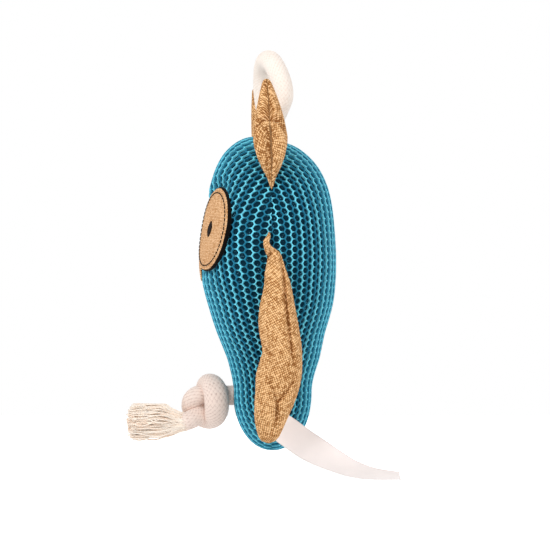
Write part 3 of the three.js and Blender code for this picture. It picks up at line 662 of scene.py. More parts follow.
def line_through(points, spacing):
    """Points evenly spaced along a smooth centripetal line through a few chosen ones."""
    chosen = [Vector(point) for point in points]
    chosen = [2 * chosen[0] - chosen[1], *chosen, 2 * chosen[-1] - chosen[-2]]
    fine = []
    for a, b, c, d in zip(chosen, chosen[1:], chosen[2:], chosen[3:]):
        knots = summed([math.sqrt((q - p).length) for p, q in ((a, b), (b, c), (c, d))])
        for i in range(CURVE_STEPS):
            t = knots[1] + (knots[2] - knots[1]) * i / CURVE_STEPS
            level = [a, b, c, d]
            for spans in (((0, 1), (1, 2), (2, 3)), ((0, 2), (1, 3)), ((1, 2),)):
                level = [
                    (p * (knots[n] - t) + q * (t - knots[m])) / (knots[n] - knots[m])
                    for p, q, (m, n) in zip(level, level[1:], spans)]
            fine.append(level[0])
    fine.append(chosen[-2])
    return respaced(np.array(fine), spacing)


def run_along(points):
    """Length of a line up to each of its points."""
    return summed(np.linalg.norm(np.diff(points, axis=0), axis=1))


def respaced(points, spacing):
    """The same line with its points evenly spaced."""
    run = run_along(points)
    steps = max(2, round(run[-1] / spacing))
    wanted = np.linspace(0, run[-1], steps + 1)
    return np.stack([np.interp(wanted, run, points[:, k]) for k in range(points.shape[1])], axis=1)


def distance_to(line, spots):
    """Distance of each flat spot from a closed flat line."""
    step = np.roll(line, -1, axis=0) - line
    away = spots[..., None, :] - line
    share = np.clip((away * step).sum(-1) / ((step * step).sum(-1) + WELD * WELD), 0, 1)
    return np.linalg.norm(away - share[..., None] * step, axis=-1).min(-1)


def grained(flat, degrees):
    """Flat places of a cloth, turned so that its weave runs at an angle."""
    cos, sin = math.cos(math.radians(degrees)), math.sin(math.radians(degrees))
    return flat @ np.array(((cos, sin), (-sin, cos)))


def carried_frames(points, first):
    """Two directions square to a line, carried along it without turning about it."""
    headings = np.gradient(points, axis=0)
    headings /= np.linalg.norm(headings, axis=1)[:, None]
    normals = np.zeros_like(points)
    normal = np.array(first, float)
    for i, heading in enumerate(headings):
        normal = normal - heading * normal.dot(heading)
        normal /= np.linalg.norm(normal)
        normals[i] = normal
    return normals, np.cross(headings, normals), headings


def skin(points, uv=None, **values):
    """Mesh of a grid laid on rows of points, with its doubled edges and poles closed."""
    rows, columns = points.shape[:2]
    bm = bmesh.new()
    bmesh.ops.create_grid(bm, x_segments=columns - 1, y_segments=rows - 1, size=1)
    bm.verts.index_update()
    places = [
        (round((v.co.y + 1) / 2 * (rows - 1)), round((v.co.x + 1) / 2 * (columns - 1))) for v in bm.verts]
    if uv is not None:
        layer = bm.loops.layers.uv.new(UV_NAME)
        for face in bm.faces:
            for loop in face.loops:
                loop[layer].uv = uv[places[loop.vert.index]]
    for name, table in values.items():
        layer = bm.verts.layers.float.new(name)
        for vert, place in zip(bm.verts, places):
            vert[layer] = table[place]
    for vert, place in zip(bm.verts, places):
        vert.co = points[place]
    bmesh.ops.remove_doubles(bm, verts=bm.verts[:], dist=WELD)
    bmesh.ops.recalc_face_normals(bm, faces=bm.faces[:])
    return bm


def whole(bm):
    return bm.verts[:] + bm.edges[:] + bm.faces[:]


def mesh_of(bm, name):
    """Mesh data of a bmesh, which is let go."""
    mesh = bpy.data.meshes.new(name)
    bm.to_mesh(mesh)
    bm.free()
    return mesh


def placed(name, data):
    """Object of some data, in the scene."""
    thing = bpy.data.objects.new(name, data)
    bpy.context.scene.collection.objects.link(thing)
    return thing


def repeat(bm, step, times):
    """Adds copies of a whole mesh, each a step further on."""
    bmesh.ops.spin(
        bm, geom=whole(bm), cent=(0, 0, 0), axis=(0, 0, 1), dvec=step, angle=0,
        space=Matrix.Identity(4), steps=times, use_duplicate=True)


def turned(bm, degrees, axis, hinge, mirror):
    """Turns a mesh about a hinge, and takes it to the right side of the toy where mirror is -1."""
    turn = Matrix.Rotation(math.radians(degrees), 4, axis)
    bmesh.ops.transform(bm, matrix=turn, space=Matrix.Translation(-hinge), verts=bm.verts[:])
    if mirror < 0:
        bmesh.ops.scale(bm, vec=(-1, 1, 1), verts=bm.verts[:])
        bmesh.ops.recalc_face_normals(bm, faces=bm.faces[:])


def puffed(points, drawn):
    """Swells a stuffed form, first drawn in a little, with Cloth under pressure."""
    scene = bpy.context.scene
    shell = placed("stuffing", mesh_of(skin(points), "stuffing"))
    remesh = shell.modifiers.new("Remesh", "REMESH")
    remesh.mode = "VOXEL"
    remesh.voxel_size = PUFF_VOXEL
    coarse = bpy.data.meshes.new_from_object(shell.evaluated_get(bpy.context.evaluated_depsgraph_get()))
    shell.modifiers.clear()
    shell.data = coarse
    before = [vert.co.copy() for vert in coarse.vertices]
    drawn_in = [vert.co - vert.normal * drawn for vert in coarse.vertices]
    for vert, place in zip(coarse.vertices, drawn_in):
        vert.co = place
    cloth = shell.modifiers.new("Cloth", "CLOTH").settings
    cloth.use_pressure = True
    cloth.uniform_pressure_force = PUFF_PRESSURE
    cloth.effector_weights.gravity = 0
    for step in range(1, PUFF_FRAMES + 1):
        scene.frame_set(step)
    swollen = shell.evaluated_get(bpy.context.evaluated_depsgraph_get()).data
    tree = kdtree.KDTree(len(before))
    moves = []
    for index, (vert, place) in enumerate(zip(swollen.vertices, before)):
        move = vert.co - place
        moves.append(move * min(1, PUFF_LIMIT / max(move.length, WELD)))
        tree.insert(place, index)
    tree.balance()
    scene.frame_set(1)
    bpy.data.objects.remove(shell)
    moved = points.copy()
    for place in np.ndindex(points.shape[:2]):
        near = tree.find_n(points[place], PUFF_NEIGHBOURS)
        shares = [math.exp(-(gap / PUFF_VOXEL) ** 2) + WELD for _, _, gap in near]
        total = sum((moves[index] * share for (_, index, _), share in zip(near, shares)), Vector())
        moved[place] += np.array(total / sum(shares))
    return moved


def finished(bm, name, body, slot, *materials):
    """Object of a mesh that rides on a body."""
    for face in bm.faces:
        face.smooth = True
    mesh = mesh_of(bm, name)
    for material in materials:
        mesh.materials.append(material)
    piece = placed(name, mesh)
    if body:
        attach(piece, body)
    return piece


# Materials


def connect(tree, node, links):
    """Puts a value on each named socket of a node, or a link from a socket or a node's first output."""
    for socket, value in links.items():
        if isinstance(value, bpy.types.Node):
            value = value.outputs[0]
        if isinstance(value, bpy.types.NodeSocket):
            tree.links.new(value, node.inputs[socket])
        else:
            node.inputs[socket].default_value = value


def add(tree, kind, links, **settings):
    """Adds a node with its settings, and with a value or a link on each named socket."""
    node = tree.nodes.new("ShaderNode" + kind)
    for name, value in settings.items():
        setattr(node, name, value)
    connect(tree, node, links)
    return node


def material_of(name, finish):
    """Material with even values on its shader's own sockets, and its node tree."""
    material = bpy.data.materials.new(name)
    material.use_nodes = True
    tree = material.node_tree
    connect(tree, tree.nodes[SHADER], finish)
    return material, tree


def surfaced(material, tone, height, strength, depth):
    """The material with its tone, and with a relief of a depth where its height changes."""
    tree = material.node_tree
    bump = add(tree, "Bump", {"Height": height, "Strength": strength, "Distance": depth})
    connect(tree, tree.nodes[SHADER], {"Base Color": tone, "Normal": bump})
    return material


def layered(tree, level, changes):
    """A level with parts of a pattern added to it, each stretched between a low and a high change."""
    for part, low, high in changes:
        change = add(tree, "MapRange", {"Value": part, "To Min": low, "To Max": high})
        level = add(tree, "Math", {0: level, 1: change}, operation="ADD")
    return level


def rgba(value):
    return (*value, 1)


def air_mesh_yarn(cover):
    """Knitted polyester yarn: bright zigzags over dimmer ones, with painted shade down the walls of the cells
    and along the seam, slightly glossy.
    """
    material, tree = material_of("air_mesh_yarn", {"Roughness": 0.6, "Specular IOR Level": 0.2})
    bright = add(tree, "Attribute", {}, attribute_name="bright").outputs["Fac"]
    deep = add(tree, "Attribute", {}, attribute_name="deep").outputs["Fac"]
    place = add(tree, "TexCoord", {}).outputs["Object"]
    fuzz = add(tree, "TexNoise", {"Vector": place, "Scale": 1 / (1.1 * MM), "Detail": 3})
    blot = add(tree, "TexNoise", {"Vector": place, "Scale": 1 / (9 * MM), "Detail": 2})
    lit = add(
        tree, "MapRange", {"Value": bright, "From Min": 0.25, "From Max": 1},
        interpolation_type="SMOOTHSTEP")
    wear_and_crease_shade = add(tree, "MapRange", {"Value": blot, "From Min": 0.3, "From Max": 0.6, "To Min": 0.75})
    share = add(tree, "Math", {0: lit, 1: wear_and_crease_shade}, operation="MULTIPLY")
    sides = {0: share, 6: rgba(cover.dim), 7: rgba(cover.bright)}
    yarn = add(tree, "Mix", sides, data_type="RGBA").outputs[2]
    # Painted shade: the yarn darkens towards the backing's colour down the cells and along the seam
    down = add(tree, "Mix", {0: deep, 6: yarn, 7: rgba(cover.backing)}, data_type="RGBA").outputs[2]
    tone = add(
        tree, "MapRange", {"Value": fuzz, "From Min": 0.3, "From Max": 0.7, "To Min": 0.8, "To Max": 1.12})
    toned = add(tree, "VectorMath", {0: down, "Scale": tone}, operation="SCALE")
    return surfaced(material, toned, fuzz, 0.5, 0.15 * MM)


def air_mesh_backing(cover):
    """Fine knitted backing at the bottom of the cells: dark, with specks of painted highlight on its loose
    loops of yarn.
    """
    material, tree = material_of("air_mesh_backing", {"Roughness": 0.85, "Specular IOR Level": 0.08})
    place = add(tree, "TexCoord", {}).outputs["Object"]
    cells = add(tree, "TexVoronoi", {"Vector": place, "Scale": 1 / (1.3 * MM)})
    patches = add(tree, "TexNoise", {"Vector": place, "Scale": 1 / (5 * MM)})
    # Small specks of painted highlight, in some patches of the backing
    speck = add(tree, "MapRange", {"Value": cells, "From Min": 0.28, "From Max": 0.12})
    some = add(tree, "MapRange", {"Value": patches, "From Min": 0.45, "From Max": 0.6})
    share = add(tree, "Math", {0: speck, 1: some}, operation="MULTIPLY")
    sides = {0: share, 6: rgba(cover.backing), 7: rgba(cover.speck)}
    tone = add(tree, "Mix", sides, data_type="RGBA").outputs[2]
    connect(tree, tree.nodes[SHADER], {"Base Color": tone})
    return material


def woven(name, spacing, light, middle, dark, relief):
    """Plain woven jute: round threads over and under each other, uneven in tone, with painted light on the
    tops of the threads, painted shade on their sides and in the gaps between them, and painted shade in
    creases.
    """
    material, tree = material_of(name, {"Roughness": 0.9, "Specular IOR Level": 0.2})
    place = add(tree, "UVMap", {}, uv_map=UV_NAME)
    wander = add(tree, "TexNoise", {"Vector": place, "Scale": 1 / (5 * spacing), "Detail": 2})
    centred = add(
        tree, "VectorMath", {0: wander.outputs["Color"], 1: (0.5, 0.5, 0.5)}, operation="SUBTRACT")
    reach = (1.1 * spacing,) * 3
    moved = add(tree, "VectorMath", {0: centred, 1: reach, 2: place}, operation="MULTIPLY_ADD")
    counted = add(tree, "VectorMath", {0: moved, "Scale": 1 / spacing}, operation="SCALE")
    split = add(tree, "SeparateXYZ", {0: counted}).outputs
    counts = [add(tree, "Math", {0: split[k]}, operation="FLOOR") for k in (0, 1)]
    domes = []
    for k in (0, 1):
        turn = add(tree, "Math", {0: split[k], 1: math.pi}, operation="MULTIPLY")
        wave = add(tree, "Math", {0: turn}, operation="SINE")
        domes.append(add(tree, "Math", {0: wave}, operation="ABSOLUTE"))
    both = add(tree, "Math", {0: counts[0], 1: counts[1]}, operation="ADD")
    over = add(tree, "Math", {0: both, 1: 2}, operation="FLOORED_MODULO")
    crossings = []
    for across, along in ((0, 1), (1, 0)):
        sharp = add(tree, "Math", {0: domes[across], 1: 0.9}, operation="POWER")
        soft = add(tree, "Math", {0: domes[along], 1: 0.4}, operation="POWER")
        crossings.append(add(tree, "Math", {0: sharp, 1: soft}, operation="MULTIPLY"))
    height = add(tree, "Mix", {0: over, 2: crossings[0], 3: crossings[1]}, data_type="FLOAT")
    tones = [add(tree, "TexWhiteNoise", {"W": count}, noise_dimensions="1D") for count in counts]
    tone = add(tree, "Mix", {0: over, 2: tones[0], 3: tones[1]}, data_type="FLOAT")
    fibre = add(tree, "TexNoise", {"Vector": place, "Scale": 1 / (0.9 * spacing), "Detail": 4})
    stain = add(tree, "TexNoise", {"Vector": place, "Scale": 1 / (14 * spacing), "Detail": 3})
    crease = add(tree, "Attribute", {}, attribute_name="crease").outputs["Fac"]
    cells = add(tree, "VectorMath", {0: counted}, operation="FLOOR")
    speck = add(tree, "TexWhiteNoise", {"Vector": cells}, noise_dimensions="2D")
    dark_speck = add(tree, "MapRange", {"Value": speck, "To Min": 1, "To Max": 0.25})
    # Painted shade in the creases and seams, speckled thread by thread
    wear_and_crease_shade = add(tree, "Math", {0: crease, 1: dark_speck}, operation="MULTIPLY")
    changes = (
        (tone, -0.12, 0.12), (speck, -0.36, 0.36), (fibre, -0.5, 0.5), (stain, -0.2, 0.2), (wear_and_crease_shade, 0, -0.85))
    level = layered(tree, height, changes)
    # The ramp colours by height: painted light on the tops of the threads, painted shade on their sides and
    # in the gaps
    ramp = add(tree, "ValToRGB", {0: level})
    stops = ramp.color_ramp.elements
    stops[0].position = 0.12
    stops[0].color = rgba(dark)
    stops[1].position = 1
    stops[1].color = rgba(light)
    stops.new(0.5).color = rgba(middle)
    return surfaced(material, ramp, level, 1, relief)


def jute(name, burlap, share=1):
    """Golden burlap of the ears, wings and beak, with its threads a share of the usual spacing apart."""
    return woven(name, share * burlap.thread, burlap.light, burlap.middle, burlap.dark, BURLAP_RELIEF)


def felt(face):
    """Pressed wool felt: dull, with matted fibres."""
    finish = {"Roughness": 1, "Sheen Weight": 0.05, "Specular IOR Level": 0.05}
    material, tree = material_of("wool_felt", finish)
    place = add(tree, "TexCoord", {}).outputs["Object"]
    fibres = add(
        tree, "TexNoise", {"Vector": place, "Scale": 1 / (0.8 * MM), "Detail": 5, "Distortion": 1.5})
    tone = add(
        tree, "MapRange", {"Value": fibres, "From Min": 0.3, "From Max": 0.7, "To Min": 0.6, "To Max": 1.6})
    lit = add(tree, "VectorMath", {0: face.felt_colour, "Scale": tone}, operation="SCALE")
    return surfaced(material, lit, fibres, 0.8, 0.2 * MM)


def sewing_thread(face):
    """Polyester embroidery thread laid side by side, with a painted sheen in bands along its turns."""
    material, tree = material_of("embroidery_thread", {"Roughness": 0.75, "Specular IOR Level": 0.1})
    place = add(tree, "UVMap", {}, uv_map=UV_NAME)
    lines = add(
        tree, "TexWave", {"Vector": place, "Scale": 0.314 / face.thread, "Distortion": 1.2, "Detail": 2},
        wave_type="BANDS", bands_direction="DIAGONAL").outputs["Fac"]
    # Painted sheen: the bands lighten and darken the thread's colour along its lines
    tone = add(tree, "MapRange", {"Value": lines, "To Min": 0.55, "To Max": 1.45})
    lit = add(tree, "VectorMath", {0: face.thread_colour, "Scale": tone}, operation="SCALE")
    return surfaced(material, lit, lines, 0.7, 0.2 * MM)


def cotton(name, light, shade):
    """Spun cotton: matt and soft, with painted shade down between its strands, and a fine fuzz of fibres."""
    finish = {"Roughness": 0.92, "Sheen Weight": 0.25, "Specular IOR Level": 0.15}
    material, tree = material_of(name, finish)
    relief = add(tree, "Attribute", {}, attribute_name="relief").outputs["Fac"]
    place = add(tree, "TexCoord", {}).outputs["Object"]
    fibres = add(tree, "TexNoise", {"Vector": place, "Scale": 1 / (0.7 * MM), "Detail": 4})
    soil = add(tree, "TexNoise", {"Vector": place, "Scale": 1 / (11 * MM), "Detail": 2})
    # The relief of the braid sets the painted shade between the strands
    level = layered(tree, relief, ((fibres, -0.35, 0.35), (soil, -0.2, 0.2)))
    share = add(tree, "MapRange", {"Value": level, "From Min": 0, "From Max": 0.75})
    tone = add(tree, "Mix", {0: share, 6: rgba(shade), 7: rgba(light)}, data_type="RGBA").outputs[2]
    return surfaced(material, tone, fibres, 0.5, 0.15 * MM)


def satin(label):
    """Polyester satin: smooth, with fine threads across it and a soft gloss."""
    finish = {"Roughness": 0.38, "Sheen Weight": 0.3, "Specular IOR Level": 0.4}
    material, tree = material_of("satin_ribbon", finish)
    place = add(tree, "UVMap", {}, uv_map=UV_NAME)
    weft = add(
        tree, "TexWave", {"Vector": place, "Scale": 0.314 / (0.5 * MM), "Distortion": 0.6},
        wave_type="BANDS", bands_direction="Y").outputs["Fac"]
    cloud = add(tree, "TexNoise", {"Vector": place, "Scale": 1 / (18 * MM), "Detail": 2})
    edge = add(tree, "Attribute", {}, attribute_name="selvedge").outputs["Fac"]
    tone = add(tree, "MapRange", {"Value": cloud, "To Min": 0.93, "To Max": 1.04})
    darker = add(tree, "Math", {0: edge, 1: -0.1, 2: tone}, operation="MULTIPLY_ADD")
    lit = add(tree, "VectorMath", {0: label.satin, "Scale": darker}, operation="SCALE")
    return surfaced(material, lit, weft, 0.15, 0.05 * MM)


def moulded_vinyl():
    """Soft vinyl of the squeaker: pale, a little cloudy, with a dull gloss."""
    material, tree = material_of("moulded_vinyl", {"Roughness": 0.45})
    place = add(tree, "TexCoord", {}).outputs["Object"]
    cloud = add(tree, "TexNoise", {"Vector": place, "Scale": 1 / (6 * MM), "Detail": 4})
    tone = add(tree, "MapRange", {"Value": cloud, "To Min": 0.96, "To Max": 1.04})
    lit = add(tree, "VectorMath", {0: linear("#e9e6de"), "Scale": tone}, operation="SCALE")
    return surfaced(material, lit, cloud, 0.4, 1.5 * MM)


# Pieces


class OWL_OT_stage(bpy.types.Operator):
    """Camera, lights, white background and floor"""

    bl_idname = "owl_toy.stage"
    bl_label = "Stage"

    def execute(self, context):
        stage = context.scene.owl_toy.stage
        self.camera(context.scene, stage)
        self.lights(stage)
        self.world(context.scene, stage)
        self.floor(stage)
        context.scene.view_settings.view_transform = "Standard"
        return {"FINISHED"}

    def camera(self, scene, stage):
        data = bpy.data.cameras.new("camera")
        data.sensor_width = 36
        data.lens = data.sensor_width * stage.distance / stage.view
        camera = placed("camera", data)
        turn = Matrix.Rotation(math.pi / 2, 4, "Z") @ Matrix.Rotation(math.pi / 2, 4, "X")
        camera.matrix_world = Matrix.Translation(VIEW_CENTRE + Vector((stage.distance, 0, 0))) @ turn
        scene.camera = camera

    def lights(self, stage):
        target = TOY + Vector((0, 0, BODY_HEIGHT / 2))
        places = (
            ("key_light", (0.75, -0.75, 0.75), 0.7, stage.key),
            ("fill_light", (0.8, 0.8, 0.2), 0.9, stage.fill),
            ("back_light", (-0.9, 0.3, 0.6), 0.8, stage.fill),
        )
        for name, offset, size, power in places:
            data = bpy.data.lights.new(name, "AREA")
            data.size = size
            data.energy = power
            light = placed(name, data)
            place = target + Vector(offset)
            facing = (target - place).to_track_quat("-Z", "Y").to_matrix().to_4x4()
            light.matrix_world = Matrix.Translation(place) @ facing

    def world(self, scene, stage):
        world = bpy.data.worlds.new("studio")
        world.use_nodes = True
        tree = world.node_tree
        seen = self.seen_directly(tree)
        strength = add(tree, "Mix", {0: seen, 2: stage.ambient, 3: 1}, data_type="FLOAT")
        connect(tree, tree.nodes["Background"], {"Color": WHITE, "Strength": strength})
        scene.world = world

    def seen_directly(self, tree):
        """Whether a ray comes from the eye, or by way of a mirror or glass."""
        rays = add(tree, "LightPath", {}).outputs
        shiny = add(tree, "Math", {0: rays["Is Camera Ray"], 1: rays["Is Glossy Ray"]}, operation="MAXIMUM")
        return add(tree, "Math", {0: shiny, 1: rays["Is Transmission Ray"]}, operation="MAXIMUM")

    def floor(self, stage):
        bm = bmesh.new()
        bmesh.ops.create_grid(bm, x_segments=1, y_segments=1, size=FLOOR_SIZE)
        bmesh.ops.translate(bm, verts=bm.verts[:], vec=(0, 0, CAD_BOX[0].z - stage.drop))
        mesh = mesh_of(bm, "floor")
        finish = {"Roughness": 1, "Base Color": rgba(linear("#f4f4f4")), "Emission Color": WHITE}
        material, tree = material_of("white_paper", finish)
        seen = self.seen_directly(tree)
        place = add(tree, "TexCoord", {}).outputs["Object"]
        level = add(tree, "VectorMath", {0: place, 1: (1, 1, 0)}, operation="MULTIPLY")
        away = add(tree, "VectorMath", {0: level}, operation="LENGTH").outputs["Value"]
        levels = {"From Min": 0.3, "From Max": 0.65, "To Min": 0.4, "To Max": 0.9}
        white = add(tree, "MapRange", {"Value": away, **levels})
        glow = add(tree, "Math", {0: seen, 1: white}, operation="MULTIPLY")
        connect(tree, tree.nodes[SHADER], {"Emission Strength": glow})
        mesh.materials.append(material)
        placed("floor", mesh)


class OWL_OT_ropes(bpy.types.Operator):
    """Braided rope loop, knotted rope foot and its frayed end"""

    bl_idname = "owl_toy.ropes"
    bl_label = "Ropes"

    def execute(self, context):
        rope = context.scene.owl_toy.rope
        self.loop(rope, cotton("braided_cotton", rope.cotton, rope.shade))
        # The knot takes a darker copy of the cotton as painted shade
        route, tail = self.foot(rope, cotton("knot_cotton_painted_shade", rope.knot, rope.knot_shade))
        self.fray(rope, route, tail)
        return {"FINISHED"}

    def braided(self, rope, path, first, halves, pressed):
        """Tube of crossing strands along a path, with its half thickness and squeeze at each point."""
        normals, binormals, _ = carried_frames(path, first)
        run = run_along(path)
        columns = STRAND_COLUMNS * rope.carriers
        turns = np.linspace(0, 2 * math.pi, columns + 1)
        width = math.pi * rope.diameter / rope.carriers
        around = rope.carriers * turns[None, :] / (2 * math.pi)
        along = run[:, None] / width
        one, other = around + along, around - along
        over = (np.floor(one) + np.floor(other)) % 2
        domes = [np.sqrt(np.clip(1 - (2 * (phase % 1) - 1) ** 2, 0, 1)) for phase in (one, other)]
        ends = [dome ** STRAND_END for dome in domes]
        relief = np.where(over > 0.5, domes[0] * ends[1], domes[1] * ends[0])
        relief[:, -1] = relief[:, 0]
        stand = rope.relief * (relief - 0.5)
        a = (halves[:, None] + stand) * np.cos(turns)[None, :]
        b = (halves[:, None] + stand) * np.sin(turns)[None, :]
        ring = a[..., None] * normals[:, None, :] + b[..., None] * binormals[:, None, :]
        points = path[:, None, :] + ring * pressed[:, None, :]
        caps = [np.repeat(path[end, None, None], columns + 1, axis=1) for end in (0, -1)]
        points = np.concatenate([caps[0], points, caps[1]])
        relief = np.concatenate([relief[:1], relief, relief[-1:]])
        return skin(points, relief=relief)

    def loop(self, rope, braid):
        spread = LOOP_ROUTE[0][0] * MM
        rise = (1 - (spread / HEAD_WIDTH) ** CROWN_POWER) ** (1 / CROWN_POWER)
        ends = HEAD_LEVEL + (BODY_HEIGHT - HEAD_LEVEL) * rise + rope.diameter / 2 - ROPE_SINK
        chosen = [TOY + Vector((x * MM, y * MM, ends + z * MM)) for x, y, z in LOOP_ROUTE]
        root = Vector((0, 0, -ROPE_ROOT))
        path = line_through([chosen[0] + root, *chosen, chosen[-1] + root], ROPE_STEP)
        half = rope.diameter / 2
        bm = self.braided(rope, path, (0, 1, 0), np.full(len(path), half), np.ones((len(path), 3)))
        piece = finished(bm, "loop_rope", None, "cotton_rope", braid)
        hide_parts("rope_loop")
        hinge = chosen[0]
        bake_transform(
            piece, "torso", "loop", start=hinge - Vector((0, 0, 5 * MM)), end=hinge + Vector((0, 0, 9 * MM)))

    def foot(self, rope, braid):
        lift = half_size(FOOT_LEVEL, HEAD_DEPTH, BASE_DEPTH) + rope.diameter / 2 - ROPE_SINK
        exit_point = TOY + Vector((0, -lift, FOOT_LEVEL))
        chosen = [exit_point + Vector((left, -out, up)) * MM for out, up, left in FOOT_ROUTE]
        path = line_through([exit_point + Vector((0, ROPE_ROOT, 0)), *chosen], ROPE_STEP)
        run = run_along(path)
        shares = run / run[-1]
        wrap = bell(shares - KNOT_WRAP, KNOT_REACH)
        tail = passed(shares, 1 - TAIL_SHARE, TAIL_SHARE)
        halves = rope.diameter / 2 * (KNOT_ROPE - TAIL_TAPER * tail)
        pressed = np.stack([1 - KNOT_SQUEEZE * wrap, 1 + KNOT_STRETCH * wrap, np.ones(len(path))], axis=1)
        kept = len(path) - round((FRAY_ROOT - FRAY_OVERLAP) / np.linalg.norm(path[-1] - path[-2]))
        bm = self.braided(rope, path[:kept], (0, 0, 1), halves[:kept], pressed[:kept])
        piece = finished(bm, "foot_rope", None, "cotton_rope", braid)
        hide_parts("rope_foot")
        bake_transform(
            piece, "torso", "foot", start=exit_point + Vector((0, 5 * MM, 0)),
            end=exit_point - Vector((0, 5 * MM, 0)))
        return path, float(halves[-1])

    def fray(self, rope, path, half):
        """Loose yarns from the end of the rope, which fan out level with the ground."""
        draws = random.Random(FRAY_SEED)
        headings = carried_frames(path, (0, 0, 1))[2]
        begin = len(path) - round(FRAY_ROOT / np.linalg.norm(path[-1] - path[-2]))
        end, heading = path[begin], headings[begin]
        side = np.array((1, 0, 0)) - heading * heading[0]
        side /= np.linalg.norm(side)
        up = np.cross(heading, side)
        up *= math.copysign(1, up[2])
        turned_end = path[-1] + headings[-1] * FRAY_LENGTH * FRAY_TURN
        level = np.array((0, -1, 0))
        strands = []
        for i in range(rope.yarns):
            reach = math.sqrt((i + 0.5) / rope.yarns)
            turn = i * math.pi * (3 - math.sqrt(5))
            spot = np.array((math.cos(turn), math.sin(turn))) * reach
            astray = i % STRAY_EVERY == 0
            wild = STRAY_SPREAD if astray else 1
            bundled = (side * spot[0] + up * spot[1]) * half * FRAY_BUNDLE
            spread = np.array((spot[0] * FRAY_SPREAD, 0, spot[1] * FRAY_SPREAD + FRAY_LIFT)) * MM
            start = end + heading * draws.uniform(-FRAY_START, FRAY_START) * MM
            reached = FRAY_LENGTH * (1 - FRAY_TURN) * (FRAY_DOME[0] - FRAY_DOME[1] * reach ** 3)
            reached *= draws.uniform(1 - FRAY_CHANCE, 1 + FRAY_CHANCE) * (STRAY_LENGTH if astray else 1)
            tip = turned_end + level * reached
            lean = np.array((draws.gauss(0, FRAY_LEAN), 0, draws.gauss(0, FRAY_LEAN))) * wild * MM
            curl = np.array([draws.gauss(0, 1) for _ in range(3)]) * FRAY_CURL * wild * MM
            phase = draws.uniform(0, 2 * math.pi)
            line = []
            for t in np.linspace(0, 1, FRAY_STEPS + 1):
                axis = start * (1 - t) ** 2 + turned_end * 2 * t * (1 - t) + tip * t * t
                opened = eased(min(1, t / FRAY_OPEN))
                sway = math.sin(FRAY_WAVES * math.pi * t + phase) * t
                line.append(axis + bundled * (1 - opened) + (spread + lean) * opened + curl * sway)
            thick = draws.uniform(*YARN_THICKNESS)
            # Yarns deeper in the bundle take more painted shade, and the rest of their tone is random
            tone = YARN_CHANCE * draws.random() + (1 - YARN_CHANCE) * reach
            strands.append((np.array(line), thick, tone))
        piece = finished(
            self.tubes(strands, rope.yarn / 2, FRAY_SIDES), "frayed_yarn", "foot", "cotton_rope",
            cotton("frayed_cotton", rope.fray, rope.fray_shade))
        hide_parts("frayed_end")

    def tubes(self, strands, radius, sides):
        """Closed tubes along lines with the same number of points each, repeated from one grid."""
        steps = len(strands[0][0])
        bm = bmesh.new()
        bmesh.ops.create_grid(bm, x_segments=sides, y_segments=steps - 1, size=1)
        repeat(bm, (0, 0, 1), YARN_BATCH - 1)
        repeat(bm, (0, 0, YARN_BATCH), math.ceil(len(strands) / YARN_BATCH) - 1)
        spare = [vert for vert in bm.verts if round(vert.co.z) >= len(strands)]
        bmesh.ops.delete(bm, geom=spare, context="VERTS")
        tone_layer = bm.verts.layers.float.new("relief")
        turns = np.linspace(0, 2 * math.pi, sides + 1)
        turns[-1] = 0
        rings = []
        for line, thick, _ in strands:
            normals, binormals, _ = carried_frames(line, (1, 0.2, 0.3))
            ring = np.cos(turns)[:, None] * normals[:, None] + np.sin(turns)[:, None] * binormals[:, None]
            rings.append(line[:, None, :] + ring * radius * thick)
        for vert in bm.verts:
            which = round(vert.co.z)
            row, column = round((vert.co.y + 1) / 2 * (steps - 1)), round((vert.co.x + 1) / 2 * sides)
            vert[tone_layer] = YARN_TONE[0] + YARN_TONE[1] * strands[which][2]
            vert.co = rings[which][row, column]
        bmesh.ops.remove_doubles(bm, verts=bm.verts[:], dist=WELD)
        bmesh.ops.holes_fill(bm, edges=bm.edges[:], sides=sides)
        bmesh.ops.recalc_face_normals(bm, faces=bm.faces[:])
        return bm


